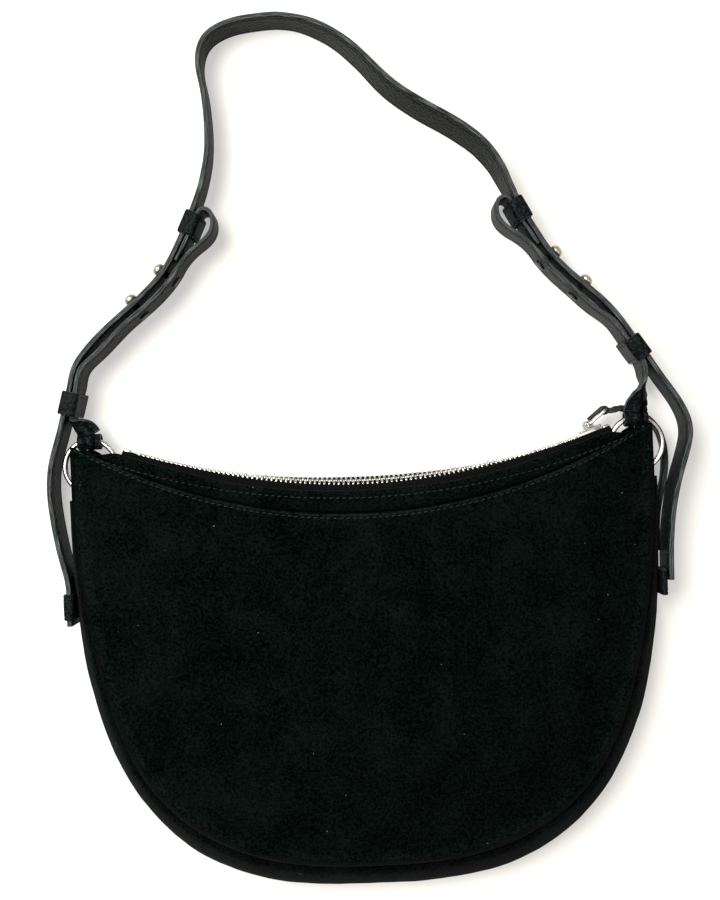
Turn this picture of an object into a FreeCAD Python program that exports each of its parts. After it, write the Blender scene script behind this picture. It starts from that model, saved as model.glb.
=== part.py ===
import FreeCAD, Part
import math
import os

# A half moon shoulder bag, lying on its back panel, in millimetres.
# +Z goes up through the thickness, +Y from the bottom of the bag to its strap,
# and the origin is on the back face at the middle of the bag.

Vector = FreeCAD.Vector
UP = Vector(0, 0, 1)

# Suede body
corner_level = 95.0           # height where the curved sides turn straight
body_half_width = 149.0
body_depth = 207.0            # from the corner level down to the bottom
body_roundness = 2.85         # superellipse power of the widest outline
widest_height = 13.0
gusset_height = 27.0          # height of the front seam along the bottom
back_seam_inset = 6.0
front_side_inset = 2.2
front_bottom_inset = 12.0
seam_roundness = 2.45         # superellipse power of both seam outlines
gusset_end_level = 88.5       # the gusset stops below the rings
front_crown = 8.0             # how far the front panel swells
suede_thickness = 1.6
lining_thickness = 0.7
lining_setback = 1.0          # from the tape's sewn edge to the lining's
seam_gap = 0.2
front_overhang = 0.6          # rolled edge of the panels past the gusset
sheet_margin = 12.0           # front sheet past the outline, before trimming
mouth_reach = 40.0            # front sheet past the corner level, before trimming
pocket_width = 130.0
pocket_depth = 92.0
pocket_top_level = 55.0
pocket_corner = 12.0

# Mouth and zip, all on arcs about one upright axis
zip_radius = 364.0
zip_mid_level = 92.0          # lowest point of the chain
zip_height = 14.0             # height of the chain's middle
zip_end_lean = 20.0           # degrees from upright of the lines that end the zip beside the rings
zip_gap_left = 3.8351         # from the left ring's wire to the line that ends the tape
zip_gap_right = 1.2327        # the same at the right ring, past the closed slider
mouth_setback = 5.0           # bare tape between chain and suede edge
mouth_height = 21.4           # underside of the front facing at the mouth
facing_depth = 10.5           # width of the facing at mid mouth
facing_radius = 280.0         # the seam below the facing
tape_thickness = 0.7
tape_overlap = 7.5            # tape sewn under the suede edge
tape_rise = 2.6               # stretch of tape that stands upright in the teeth
tape_slack = 0.6
tooth_pitch = 2.45
tooth_length = 1.1            # along the chain
tooth_depth = 2.6             # through the chain
tooth_reach = 3.4             # from the mesh to the end of the clamp
tooth_mesh = 1.0              # how far the two rows overlap
tooth_slot_gap = 0.1
tape_tooth_gap = 0.4
slider_length = 11.5
slider_plate = 1.2
slider_clearance = 0.4
slider_outer_width = 9.2
slider_inner_width = 6.0
slider_post_length = 3.2
slider_post_width = 1.0
crown_length = 5.6
crown_width = 3.0
crown_height = 3.8
link_wire_radius = 0.8
link_length = 11.0
link_width = 11.6
link_bore_clearance = 0.1
link_angle = 39.0             # direction of the link at rest, from +X
stop_length = 3.5
stop_gap = 0.5

# Pull strip, doubled leather
pull_width = 8.0
pull_thickness = 2.6
pull_eye_wall = 1.2
pull_stub_length = 8.5
pull_stub_thickness = 1.0
pull_taper = 0.8              # the strip is a little narrower where it meets its fold

# Rings and their tabs
ring_radius = 13.2
ring_wire_radius = 1.4
ring_level = 105.5
ring_height = 16.0
ring_left_x = -138.0
ring_right_x = 140.0
eye_width = 12.0
eye_wall = 1.6
eye_clearance = 0.3
tab_tail_length = 24.0
tab_tail_shift = 11.0
tab_thickness = 2.6

# Straps and keepers
strap_width = 22.0
strap_thickness = 2.6
strap_floor = 1.8             # keepers hold the straps off the surface
arch_floor = 0.4
layer_gap = 0.5               # between the two straps in the lower keeper
straight_run = 23.0           # both straps lie parallel under a sliding lower keeper
layer_spread = 5.2            # middle to middle at the studs
spread_length = 13.0          # from the straight run to the full spread
fold_thickness = 2.0
fold_gap = 0.6
neck_width = 12.0
arch_lean = 12.0              # degrees, outwards
keeper_length = 12.0
keeper_wall = 1.2
keeper_clearance = 0.5
side_keeper_length = 13.0
side_keeper_level = 35.0
side_keeper_wall = 1.0
side_keeper_play = 0.3
tuck_past = 3.0               # the tucked end shows below its keeper
empty_keeper_room = 1.0
stud_first = 28.0             # from the upper keeper down to the first stud
stud_pitch = 22.0
stud_ball_radius = 3.3
stud_ball_depth = 5.0
stud_neck_radius = 1.7
stud_flange_radius = 3.0
stud_flange_depth = 0.8
stud_hole_clearance = 0.3
stud_seat_gap = 0.4
stud_flange_gap = 0.35
screw_shank_radius = 1.2
screw_head_radius = 3.0
screw_head_depth = 0.9
screw_grip = 1.9
screw_bore_clearance = 0.1
screw_end_gap = 0.4

# Routes in plan, chosen by hand: the shoulder strap from left keeper to right keeper
left_branch = [(-149.5, 132.0), (-147.43, 139.67), (-145.37, 147.33), (-143.3, 155.0), (-136.5, 165.0),
               (-124.1, 177.0), (-111.0, 187.5), (-101.5, 196.2), (-93.6, 205.9), (-87.6, 217.0),
               (-82.9, 226.5)]
arch = [(-78.2, 237.5), (-73.8, 251.0), (-71.5, 265.0), (-71.4, 280.0), (-73.0, 296.0),
        (-74.2, 309.0), (-70.6, 319.5), (-61.0, 326.0), (-46.0, 329.2), (-28.0, 329.0),
        (-10.5, 322.5), (6.5, 309.0), (21.5, 293.0), (40.0, 279.2), (56.5, 269.0),
        (68.5, 258.8), (76.0, 248.0), (81.0, 237.0)]
right_branch = [(86.0, 226.6), (91.2, 217.3), (99.0, 204.8), (112.0, 190.4), (123.6, 179.6),
                (133.5, 168.2), (139.8, 158.8), (146.0, 149.5)]
left_tail = [(-149.6, 131.6), (-152.6, 121.0), (-156.6, 107.5), (-158.0, 93.0), (-156.6, 77.0),
             (-153.4, 59.0), (-150.6, 45.0)]
right_tail = [(146.25, 149.15), (154.0, 137.0), (162.0, 124.5), (166.0, 111.5), (163.8, 100.0),
              (159.2, 85.5), (155.6, 69.0), (153.8, 51.0), (153.4, 36.0)]
# The pull strip from its fold to its end: across and up from the link's far bar, and the height of its middle
pull_route = [(4.9, -0.1, 13.4), (8.1, 0.7, 10.4), (11.5, 0.3, 7.4), (16.7, -0.9, 6.0),
              (22.2, -3.5, 5.2), (27.5, -8.5, 4.8), (31.1, -16.4, 4.6), (32.1, -25.9, 4.6),
              (30.9, -36.9, 4.6), (27.9, -48.9, 4.6), (26.3, -60.9, 4.6), (25.9, -72.9, 4.6)]

# Places worked out from the sizes
zip_centre = Vector(0, zip_mid_level + zip_radius, zip_height)
mouth_radius = zip_radius + mouth_setback
tape_end_radius = mouth_radius + tape_overlap
lining_mouth_radius = tape_end_radius + lining_setback
facing_centre_y = zip_mid_level - mouth_setback - facing_depth + facing_radius
eye_sag = ring_radius - math.sqrt(ring_radius ** 2 - (eye_width / 2) ** 2)
eye_bore = ring_wire_radius + eye_sag / 2 + eye_clearance
strap_eye_level = ring_level + ring_radius - eye_sag / 2
tab_eye_level = ring_level - ring_radius + eye_sag / 2
layer_pitch = strap_thickness + layer_gap
fold_offset = strap_thickness / 2 + fold_gap + fold_thickness / 2
strap_middle = strap_floor + strap_width / 2
low, high = -20.0, 70.0       # reach of the cutting blocks, below and above the bag


os.makedirs("parts", exist_ok=True)


def save(name, shape):
    shape.exportStep("parts/" + name + ".step")


def outline(half_width, depth, power, steps=28):
    """Half superellipse from the left corner level round the bottom to the right."""
    points = []
    for i in range(steps + 1):
        t = math.pi * i / steps
        c = math.cos(t)
        s = abs(math.sin(t))
        x = -half_width * math.copysign(abs(c) ** (2 / power), c)
        points.append((x, corner_level - depth * s ** (2 / power)))
    return points


def outline_wire(half_width, depth, power, z, top):
    points = [Vector(x, y, z) for x, y in outline(half_width, depth, power)]
    spline = Part.BSplineCurve()
    spline.interpolate(points)
    first = Vector(points[0].x, top, z)
    last = Vector(points[-1].x, top, z)
    return Part.Wire([Part.makeLine(first, points[0]), spline.toShape(),
                      Part.makeLine(points[-1], last), Part.makeLine(last, first)])


def body_block(inset, bottom, ceiling, top):
    """The swollen body, drawn in by inset, from height bottom to height ceiling."""
    rise = (ceiling - gusset_height) / (gusset_height - widest_height)
    levels = [
        (back_seam_inset, back_seam_inset, seam_roundness, bottom),
        (0.0, 0.0, body_roundness, widest_height),
        (front_side_inset, front_bottom_inset, seam_roundness, gusset_height),
        (front_side_inset * (1 + rise), front_bottom_inset * (1 + rise), seam_roundness, ceiling),
    ]
    wires = [outline_wire(body_half_width - side - inset, body_depth - foot - inset, power, z, top)
             for side, foot, power, z in levels]
    return Part.makeLoft(wires, True, False)


def outline_prism(side_inset, bottom_inset, power):
    wire = outline_wire(body_half_width - side_inset, body_depth - bottom_inset, power, low,
                        corner_level + body_half_width)
    return Part.Face(wire).extrude(UP * (high - low))


def disc(radius, centre_y):
    return Part.makeCylinder(radius, high - low, Vector(0, centre_y, low))


def mouth_distance(x, y):
    """Plan distance from the mouth edge into the bag."""
    return math.hypot(x, y - zip_centre.y) - mouth_radius


def front_height(x, y):
    """Height of the front panel's underside: low at the mouth, level at the seam, swollen between."""
    d = max(0.0, mouth_distance(x, y))
    u = min(1.0, d / (body_depth * 0.75))
    seam = mouth_height + (gusset_height - mouth_height) * u * u * (3 - 2 * u)
    across = abs(x) / (body_half_width - front_side_inset)
    down = max(0.0, corner_level - y) / (body_depth - front_bottom_inset)
    edge = across ** seam_roundness + down ** seam_roundness
    swell = 1 - (1 - min(1.0, d / (body_depth * 0.4))) ** 2
    return seam + front_crown * max(-0.6, 1 - edge) * swell


def front_slab(drop, thickness):
    """A sheet that follows the front, its underside drop below the panel's underside."""
    across = 18
    along = 16
    half = body_half_width + sheet_margin
    bottom = corner_level - body_depth - sheet_margin
    top = corner_level + mouth_reach
    rows = []
    for i in range(across + 1):
        x = half * (2 * i / across - 1)
        row = []
        for j in range(along + 1):
            y = bottom + (top - bottom) * j / along
            row.append(Vector(x, y, front_height(x, y) - drop))
        rows.append(row)
    surface = Part.BSplineSurface()
    surface.interpolate(rows)
    return surface.toShape().extrude(UP * thickness)


def corners_across(point, along, wide, width, thickness):
    """Corners of the rectangle across a strap: width along wide, thickness across both."""
    across = along.cross(wide)
    across.normalize()
    a = wide * (width / 2)
    b = across * (thickness / 2)
    return [point + a + b, point - a + b, point - a - b, point + a - b]


def ruled_face(rail, next_rail):
    """Straight lines from each point of a rail to the same point of the next one."""
    surface = Part.BSplineSurface()
    poles = [list(pair) for pair in zip(rail.getPoles(), next_rail.getPoles())]
    surface.buildFromPolesMultsKnots(poles, rail.getMultiplicities(), [2, 2], rail.getKnots(), [0.0, 1.0],
                                     False, False, rail.Degree, 1)
    return surface.toShape()


def band(rows):
    """A strap through rows of four corners: a smooth rail along each corner, ruled strips between."""
    middles = [(row[0] + row[2]) * 0.5 for row in rows]
    lengths = [0.0]
    for a, b in zip(middles, middles[1:]):
        lengths.append(lengths[-1] + (b - a).Length)
    rails = []
    for corner in range(4):
        rail = Part.BSplineCurve()
        rail.interpolate(Points=[row[corner] for row in rows], Parameters=lengths)
        rails.append(rail)
    faces = [ruled_face(rails[i], rails[(i + 1) % 4]) for i in range(4)]
    for row in (rows[0], rows[-1]):
        faces.append(Part.Face(Part.makePolygon(row + row[:1])))
    shell = Part.Shell(faces)
    shell.sewShape()
    solid = Part.Solid(shell)
    if solid.Volume < 0:
        solid.reverse()
    return solid


def spline_edge(points):
    spline = Part.BSplineCurve()
    spline.interpolate([Vector(*p) for p in points])
    return spline.toShape()


def place_on(edge, s):
    """Point and direction at length s along an edge."""
    at = edge.getParameterByLength(s)
    return edge.valueAt(at), edge.tangentAt(at)


def beside(edge, s, inward):
    """Point at length s along the strap's route, moved inwards across it, with the direction there."""
    point, along = place_on(edge, s)
    inner = UP.cross(along) * -1
    return point + inner * inward, along


def upright_band(points, floor, width, thickness):
    """A strap standing on its edge along a plan route."""
    middle = floor + width / 2
    return twisted_band([(Vector(x, y, middle), 0.0, width, thickness) for x, y in points])


def loop_block(edge, s, length, inner_from, inner_to, floor, width, wall):
    """A keeper: a flat tube round the straps at length s, open along their run."""
    point, along = place_on(edge, s)
    inner = UP.cross(along) * -1
    seat = FreeCAD.Placement(FreeCAD.Matrix(inner.x, along.x, 0, point.x, inner.y, along.y, 0, point.y,
                                            0, 0, 1, 0, 0, 0, 0, 1))
    outer = Part.makeBox(inner_to - inner_from + 2 * wall, length, width + 2 * wall,
                         Vector(inner_from - wall, -length / 2, floor - wall))
    room = Part.makeBox(inner_to - inner_from, length + 2, width,
                        Vector(inner_from, -length / 2 - 1, floor))
    tube = outer.cut(room)
    rounded = [e for e in tube.Edges if abs(e.tangentAt(e.FirstParameter).y) > 0.99]
    tube = tube.makeFillet(wall / 2.5, rounded)
    tube.Placement = seat
    return tube


def twisted_band(stations, fine=4):
    """A strap through stations of (point, twist in degrees, width, thickness), eased between them."""
    edge = spline_edge([tuple(p) for p, _, _, _ in stations])
    at = [edge.Curve.parameter(p) for p, _, _, _ in stations]
    rows = []
    for i in range(fine * (len(stations) - 1) + 1):
        k = min(i // fine, len(stations) - 2)
        share = i / fine - k
        ease = share * share * (3 - 2 * share)
        twist, width, thickness = [a + (b - a) * ease
                                   for a, b in zip(stations[k][1:], stations[k + 1][1:])]
        u = at[k] + (at[k + 1] - at[k]) * share
        along = edge.tangentAt(u)
        upright = UP - along * UP.dot(along)
        upright.normalize()
        flat = along.cross(upright)
        turn = math.radians(twist)
        wide = upright * math.cos(turn) + flat * math.sin(turn)
        rows.append(corners_across(edge.valueAt(u), along, wide, width, thickness))
    return band(rows)


def side_reach(y):
    """Half width of the widest outline at level y."""
    down = max(0.0, corner_level - y) / body_depth
    return body_half_width * (1 - down ** body_roundness) ** (1 / body_roundness)


def on_zip(shape, angle):
    """Turn a piece made at mid mouth along the zip's arc."""
    turned = shape.copy()
    turned.rotate(zip_centre, UP, angle)
    return turned


def strip_profile(points, thickness):
    """A closed outline of even thickness along points (y, z) in the plane x = 0."""
    left_side = []
    right_side = []
    for i, (y, z) in enumerate(points):
        y0, z0 = points[max(0, i - 1)]
        y1, z1 = points[min(len(points) - 1, i + 1)]
        size = math.hypot(y1 - y0, z1 - z0)
        ny = -(z1 - z0) / size * thickness / 2
        nz = (y1 - y0) / size * thickness / 2
        left_side.append(Vector(0, y + ny, z + nz))
        right_side.append(Vector(0, y - ny, z - nz))
    corners = left_side + right_side[::-1]
    return Part.Face(Part.makePolygon(corners + corners[:1]))


def box_between(x0, x1, y0, y1, z0, z1):
    return Part.makeBox(x1 - x0, y1 - y0, z1 - z0, Vector(x0, y0, z0))


def bar(start, end, radius):
    return Part.makeCylinder(radius, (end - start).Length, start, end - start)


# Body shells
mouth_disc = disc(mouth_radius, zip_centre.y)
facing_disc = disc(facing_radius, facing_centre_y)
facing_inner_disc = disc(facing_radius - seam_gap, facing_centre_y)
lining_disc = disc(lining_mouth_radius, zip_centre.y)
front_prism = outline_prism(front_side_inset - front_overhang, front_bottom_inset - front_overhang,
                            seam_roundness)
back_prism = outline_prism(back_seam_inset - front_overhang, back_seam_inset - front_overhang,
                           seam_roundness)
reach = 2 * body_half_width
floor_sheet = box_between(-reach, reach, -reach, reach, 0, suede_thickness)

front_sheet = front_slab(0.0, suede_thickness).common(front_prism).cut(mouth_disc)
save("front_panel", front_sheet.cut(facing_disc))
save("front_facing", front_sheet.common(facing_inner_disc))
back_sheet = floor_sheet.common(back_prism).cut(mouth_disc)
save("back_panel", back_sheet.cut(facing_disc))
save("back_facing", back_sheet.common(facing_inner_disc))

body_top = corner_level + body_half_width / 3
above_corner = box_between(-reach, reach, gusset_end_level, reach, low, high)


def gusset_band(outer_inset, inner_inset, bottom, under_front):
    """A band of the body's side, from height bottom up to under_front below the front panel."""
    outer = body_block(outer_inset, 0.0, 2 * gusset_height, body_top)
    inner = body_block(inner_inset, -1.0, 2 * gusset_height + 1, body_top + 10)
    below = box_between(-reach, reach, -reach, reach, low, bottom)
    band = outer.cut(inner).cut(above_corner).cut(below)
    return band.cut(front_slab(under_front, high))


lining_inset = suede_thickness + seam_gap
lining_under = lining_thickness + seam_gap
lining_top = suede_thickness + seam_gap + lining_thickness
save("gusset", gusset_band(0.0, suede_thickness, suede_thickness + seam_gap, seam_gap))
save("lining_gusset", gusset_band(lining_inset, lining_inset + lining_thickness,
                                  lining_top + seam_gap, lining_under + seam_gap))
inside = body_block(lining_inset, -1.0, 2 * gusset_height + 1, body_top)
lining_front = front_slab(lining_under, lining_thickness).common(inside).cut(lining_disc)
save("lining_front", lining_front)
lining_slab = box_between(-reach, reach, -reach, reach, suede_thickness + seam_gap, lining_top)
save("lining_back", lining_slab.common(inside).cut(lining_disc))

pocket_floor = lining_top + seam_gap
pocket = box_between(-pocket_width / 2, pocket_width / 2, pocket_top_level - pocket_depth,
                     pocket_top_level, pocket_floor, pocket_floor + lining_thickness)
lower_corners = [e for e in pocket.Edges
                 if e.BoundBox.ZLength > lining_thickness / 2
                 and e.BoundBox.YMax < pocket_top_level - pocket_depth / 2]
save("inner_pocket", pocket.makeFillet(pocket_corner, lower_corners))

# Zip
degrees_per_mm = math.degrees(1 / zip_radius)


def chain_end(ring_x, gap):
    """Angle from mid mouth to the leaning line that clears a ring's wire by gap."""
    lean = math.radians(zip_end_lean)
    ring_across = abs(ring_x) * math.cos(lean) + (zip_centre.y - ring_level) * math.sin(lean)
    across = ring_across - ring_radius - ring_wire_radius - gap
    return math.degrees(math.asin(across / zip_radius)) - zip_end_lean


tape_start = -chain_end(ring_left_x, zip_gap_left)
tape_end = chain_end(ring_right_x, zip_gap_right)
stop_left = tape_start + stop_length / 2 * degrees_per_mm
stop_right = tape_end - stop_length / 2 * degrees_per_mm
slider_half_angle = slider_length / 2 * degrees_per_mm
slider_angle = stop_right - slider_half_angle - (stop_gap + stop_length / 2) * degrees_per_mm
first_tooth = stop_left + (stop_gap + stop_length / 2 + tooth_length / 2) * degrees_per_mm
pitch_angle = tooth_pitch * degrees_per_mm
last_tooth = slider_angle - slider_half_angle - (tooth_length / 2 + slider_clearance) * degrees_per_mm
tape_edge = tooth_mesh / 2 + tape_tooth_gap   # from the chain's middle to the edge of each tape
slot_half = tape_thickness / 2 + tooth_slot_gap

under_facing = mouth_height - seam_gap - tape_thickness / 2
over_back = suede_thickness + seam_gap + tape_thickness / 2
front_path = [(zip_mid_level, zip_height + tape_edge),
              (zip_mid_level, zip_height + tape_edge + tape_rise),
              (zip_mid_level - mouth_setback, under_facing - tape_slack),
              (zip_mid_level - mouth_setback - tape_overlap, under_facing)]
back_path = [(zip_mid_level, zip_height - tape_edge),
             (zip_mid_level, zip_height - tape_edge - tape_rise),
             (zip_mid_level - mouth_setback, over_back + tape_slack),
             (zip_mid_level - mouth_setback - tape_overlap, over_back)]
for name, path in (("zip_tape_front", front_path), ("zip_tape_back", back_path)):
    profile = on_zip(strip_profile(path, tape_thickness), tape_start)
    save(name, profile.revolve(zip_centre, UP, tape_end - tape_start))

tooth = box_between(-tooth_length / 2, tooth_length / 2, zip_mid_level - tooth_depth / 2,
                    zip_mid_level + tooth_depth / 2, zip_height - tooth_mesh / 2,
                    zip_height - tooth_mesh / 2 + tooth_reach)
slot = box_between(-tooth_length, tooth_length, zip_mid_level - slot_half, zip_mid_level + slot_half,
                   zip_height + tape_edge - tooth_slot_gap, zip_height + tooth_reach)
front_tooth = tooth.cut(slot)
back_tooth = front_tooth.mirror(Vector(0, 0, zip_height), UP)
teeth = int((last_tooth - first_tooth) / pitch_angle)
save("zip_teeth_front", Part.Compound([on_zip(front_tooth, last_tooth - pitch_angle * i)
                                       for i in range(teeth)]))
save("zip_teeth_back", Part.Compound([on_zip(back_tooth, last_tooth - pitch_angle * (i + 0.5))
                                      for i in range(teeth)]))

stop_block = box_between(-stop_length / 2, stop_length / 2, zip_mid_level - tooth_depth / 2,
                         zip_mid_level + tooth_depth / 2, zip_height - tooth_reach + tooth_mesh / 2,
                         zip_height + tooth_reach - tooth_mesh / 2)
stop_slot = box_between(-stop_length, stop_length, zip_mid_level - slot_half, zip_mid_level + slot_half,
                        zip_height + tape_edge - tooth_slot_gap, zip_height + tooth_reach)
stop_block = stop_block.cut(stop_slot).cut(stop_slot.mirror(Vector(0, 0, zip_height), UP))
save("zip_end_stops", Part.Compound([on_zip(stop_block, stop_left), on_zip(stop_block, stop_right)]))

plate_near = tooth_depth / 2 + slider_clearance
plate_far = plate_near + slider_plate
outer_plate = box_between(-slider_length / 2, slider_length / 2, zip_mid_level + plate_near,
                          zip_mid_level + plate_far, zip_height - slider_outer_width / 2,
                          zip_height + slider_outer_width / 2)
outer_plate = outer_plate.makeFillet(slider_plate, [e for e in outer_plate.Edges
                                                    if e.BoundBox.YLength > slider_plate / 2])
inner_plate = box_between(-slider_length / 2, slider_length / 2, zip_mid_level - plate_far,
                          zip_mid_level - plate_near, zip_height - slider_inner_width / 2,
                          zip_height + slider_inner_width / 2)
post = box_between(slider_length / 2 - slider_post_length, slider_length / 2, zip_mid_level - plate_far,
                   zip_mid_level + plate_far, zip_height - slider_post_width / 2,
                   zip_height + slider_post_width / 2)
pin_level = zip_mid_level + plate_far + crown_height / 2
crown = box_between(-crown_length / 2, crown_length / 2, zip_mid_level + plate_near,
                    zip_mid_level + plate_far + crown_height, zip_height - crown_width / 2,
                    zip_height + crown_width / 2)
crown = crown.makeFillet(crown_height / 3, [e for e in crown.Edges
                                            if e.BoundBox.ZLength > crown_width / 2
                                            and e.BoundBox.YMin > pin_level])
pin_bore = Part.makeCylinder(link_wire_radius + link_bore_clearance, 2 * crown_width,
                             Vector(0, pin_level, zip_height - crown_width))
slider = outer_plate.fuse([inner_plate, post, crown]).cut(pin_bore).removeSplitter()
save("zip_slider", on_zip(slider, slider_angle))

pin = Vector(0, pin_level, zip_height) - zip_centre
pin = FreeCAD.Rotation(UP, slider_angle).multVec(pin) + zip_centre
link_way = Vector(math.cos(math.radians(link_angle)), math.sin(math.radians(link_angle)), 0)
far_pin = pin + link_way * link_length
half_link = UP * (link_width / 2)
link_corners = [pin - half_link, far_pin - half_link, far_pin + half_link, pin + half_link]
link_pieces = [bar(a, b, link_wire_radius) for a, b in zip(link_corners, link_corners[1:] + link_corners[:1])]
link_pieces += [Part.makeSphere(link_wire_radius, c) for c in link_corners]
save("zip_pull_link", link_pieces[0].fuse(link_pieces[1:]))

# Pull strip, folded round the far bar of the link
pull_bore = link_wire_radius + eye_clearance
pull_half = UP * (pull_width / 2)
pull_eye = Part.makeCylinder(pull_bore + pull_eye_wall, pull_width, far_pin - pull_half)
stub_side = UP.cross(link_way) * (pull_bore + pull_eye_wall / 2)
stub_from = far_pin + stub_side
stub_to = stub_from - link_way * pull_stub_length
stub_width = pull_width - pull_taper
stub = band([corners_across(p, link_way, UP, stub_width, pull_stub_thickness)
             for p in (stub_from, stub_to)])
pull_points = [Vector(far_pin.x + across, far_pin.y + up, z) for across, up, z in pull_route]
way_out = (pull_points[0] - far_pin).normalize()
run = [(far_pin + way_out * (pull_bore + pull_eye_wall / 2), 0.0, stub_width, pull_thickness)]
run += [(point, 0.0, pull_width if i else stub_width, pull_thickness) for i, point in enumerate(pull_points)]
pull_hole = Part.makeCylinder(pull_bore, 2 * pull_width, far_pin - pull_half * 2)
save("zip_pull_strip", twisted_band(run).fuse([pull_eye, stub]).cut(pull_hole))

# Rings and ring tabs
for side, ring_x in (("left", ring_left_x), ("right", ring_right_x)):
    ring = Part.makeTorus(ring_radius, ring_wire_radius, Vector(ring_x, ring_level, ring_height))
    save("ring_" + side, ring)


def eye_tube(x, level, grow):
    """A round bar across the strap at a ring, as wide as the eye."""
    start = Vector(x - eye_width / 2 - grow, level, ring_height)
    return start, eye_width + 2 * grow


def make_eye(x, level):
    start, length = eye_tube(x, level, 0.0)
    return Part.makeCylinder(eye_bore + eye_wall, length, start, Vector(1, 0, 0))


def make_eye_bore(x, level):
    start, length = eye_tube(x, level, eye_width)
    return Part.makeCylinder(eye_bore, length, start, Vector(1, 0, 0))


eye_join = eye_bore + eye_wall / 2       # a strap's end, sunk in the wall of its eye
tab_land = lining_top + seam_gap + tab_thickness / 2
for side, ring_x in (("left", ring_left_x), ("right", ring_right_x)):
    inward = -math.copysign(tab_tail_shift, ring_x)
    drop = ring_height - tab_land
    tab_steps = [(0.0, eye_join, ring_height), (0.25, 0.35 * tab_tail_length, ring_height - 0.25 * drop),
                 (0.75, 0.75 * tab_tail_length, ring_height - 0.75 * drop),
                 (1.0, 1.1 * tab_tail_length, tab_land + 0.05 * drop),
                 (1.0, 1.4 * tab_tail_length, tab_land + 0.02 * drop)]
    tab_run = [(Vector(ring_x + inward * across, tab_eye_level - down, z), 90.0, eye_width, tab_thickness)
               for across, down, z in tab_steps]
    tab = twisted_band(tab_run).fuse(make_eye(ring_x, tab_eye_level))
    save("ring_tab_" + side, tab.cut(make_eye_bore(ring_x, tab_eye_level)))

# Shoulder strap on its edge, leaning a little along the arch
plan = left_branch + arch + right_branch
route = spline_edge([(x, y, 0.0) for x, y in plan])


def length_to(x, y):
    return route.Curve.length(route.FirstParameter, route.Curve.parameter(Vector(x, y, 0.0)))


strap_stations = []
for i, (x, y) in enumerate(plan):
    k = i - len(left_branch)
    on_arch = 0 <= k < len(arch)
    rise = math.sin(math.pi * (k + 1) / (len(arch) + 1)) if on_arch else 0.0
    lean_start = len(arch) / 2
    lean_share = (k - lean_start) / (len(arch) - lean_start)
    lean = math.radians(arch_lean) * max(0.0, math.sin(math.pi * lean_share)) if on_arch else 0.0
    floor = strap_floor + (arch_floor - strap_floor) * rise
    middle = floor + strap_width / 2 * math.cos(lean) + strap_thickness / 2 * math.sin(lean)
    strap_stations.append((Vector(x, y, middle), -math.degrees(lean), strap_width, strap_thickness))
shoulder = twisted_band(strap_stations)


class Branch:
    """One side of the strap: lengths run from its lower keeper up to the arch."""

    def __init__(self, side, upper_keeper_point):
        self.side = side
        self.from_left = side == "left"
        self.upper_keeper = self.length_of(upper_keeper_point)

    def length_of(self, point):
        reached = length_to(*point)
        return reached if self.from_left else route.Length - reached

    def on_route(self, s):
        return s if self.from_left else route.Length - s

    def point(self, s, inward, z):
        """A point at length s, moved inwards from the shoulder strap's middle."""
        p, _ = beside(route, self.on_route(s), inward)
        return Vector(p.x, p.y, z)

    def inward(self, s):
        _, along = beside(route, self.on_route(s), 0.0)
        return UP.cross(along) * -1

    def keeper(self, s, inner_to):
        return loop_block(route, self.on_route(s), keeper_length,
                          -strap_thickness / 2 - keeper_clearance, inner_to + keeper_clearance,
                          strap_floor - keeper_clearance, strap_width + 2 * keeper_clearance, keeper_wall)

    def studs(self):
        return [self.upper_keeper - stud_first, self.upper_keeper - stud_first - stud_pitch]


left = Branch("left", left_branch[-1])
right = Branch("right", right_branch[0])

# The necks between the rings and the lower keepers: across and up from the eye, height, twist, width
necks = {
    "left": [(0.0, eye_join, ring_height, 90.0, neck_width), (-1.2, 5.0, 15.7, 82.0, neck_width),
             (-4.6, 6.9, 15.0, 55.0, neck_width), (-7.2, 8.5, 14.0, 22.0, neck_width),
             (-8.6, 10.5, 13.2, 5.0, neck_width)],
    "right": [(0.0, eye_join, ring_height, -90.0, neck_width), (0.6, 5.6, 15.8, -82.0, neck_width),
              (2.4, 9.4, 15.2, -56.0, neck_width), (4.4, 13.4, 14.4, -28.0, 13.5),
              (5.3, 18.0, 13.4, -6.0, 17.0), (5.1, 23.0, 12.9, 0.0, 20.5)],
}
lowest_width = {"left": 14.0, "right": strap_width}
# The folded top of a lower strap, from its rise to its end: up from the keeper's middle, inwards
fold = [(-26.0, layer_spread), (-18.5, layer_spread + 0.4), (-11.0, layer_spread + 2.8),
        (-4.5, layer_spread + 6.0), (1.5, layer_spread + 7.3), (6.5, layer_spread + 5.6),
        (9.3, layer_spread + 2.4), (8.9, fold_offset + 1.4), (4.8, fold_offset), (-3.0, fold_offset),
        (-11.0, fold_offset), (-19.5, fold_offset - 0.2)]


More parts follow.
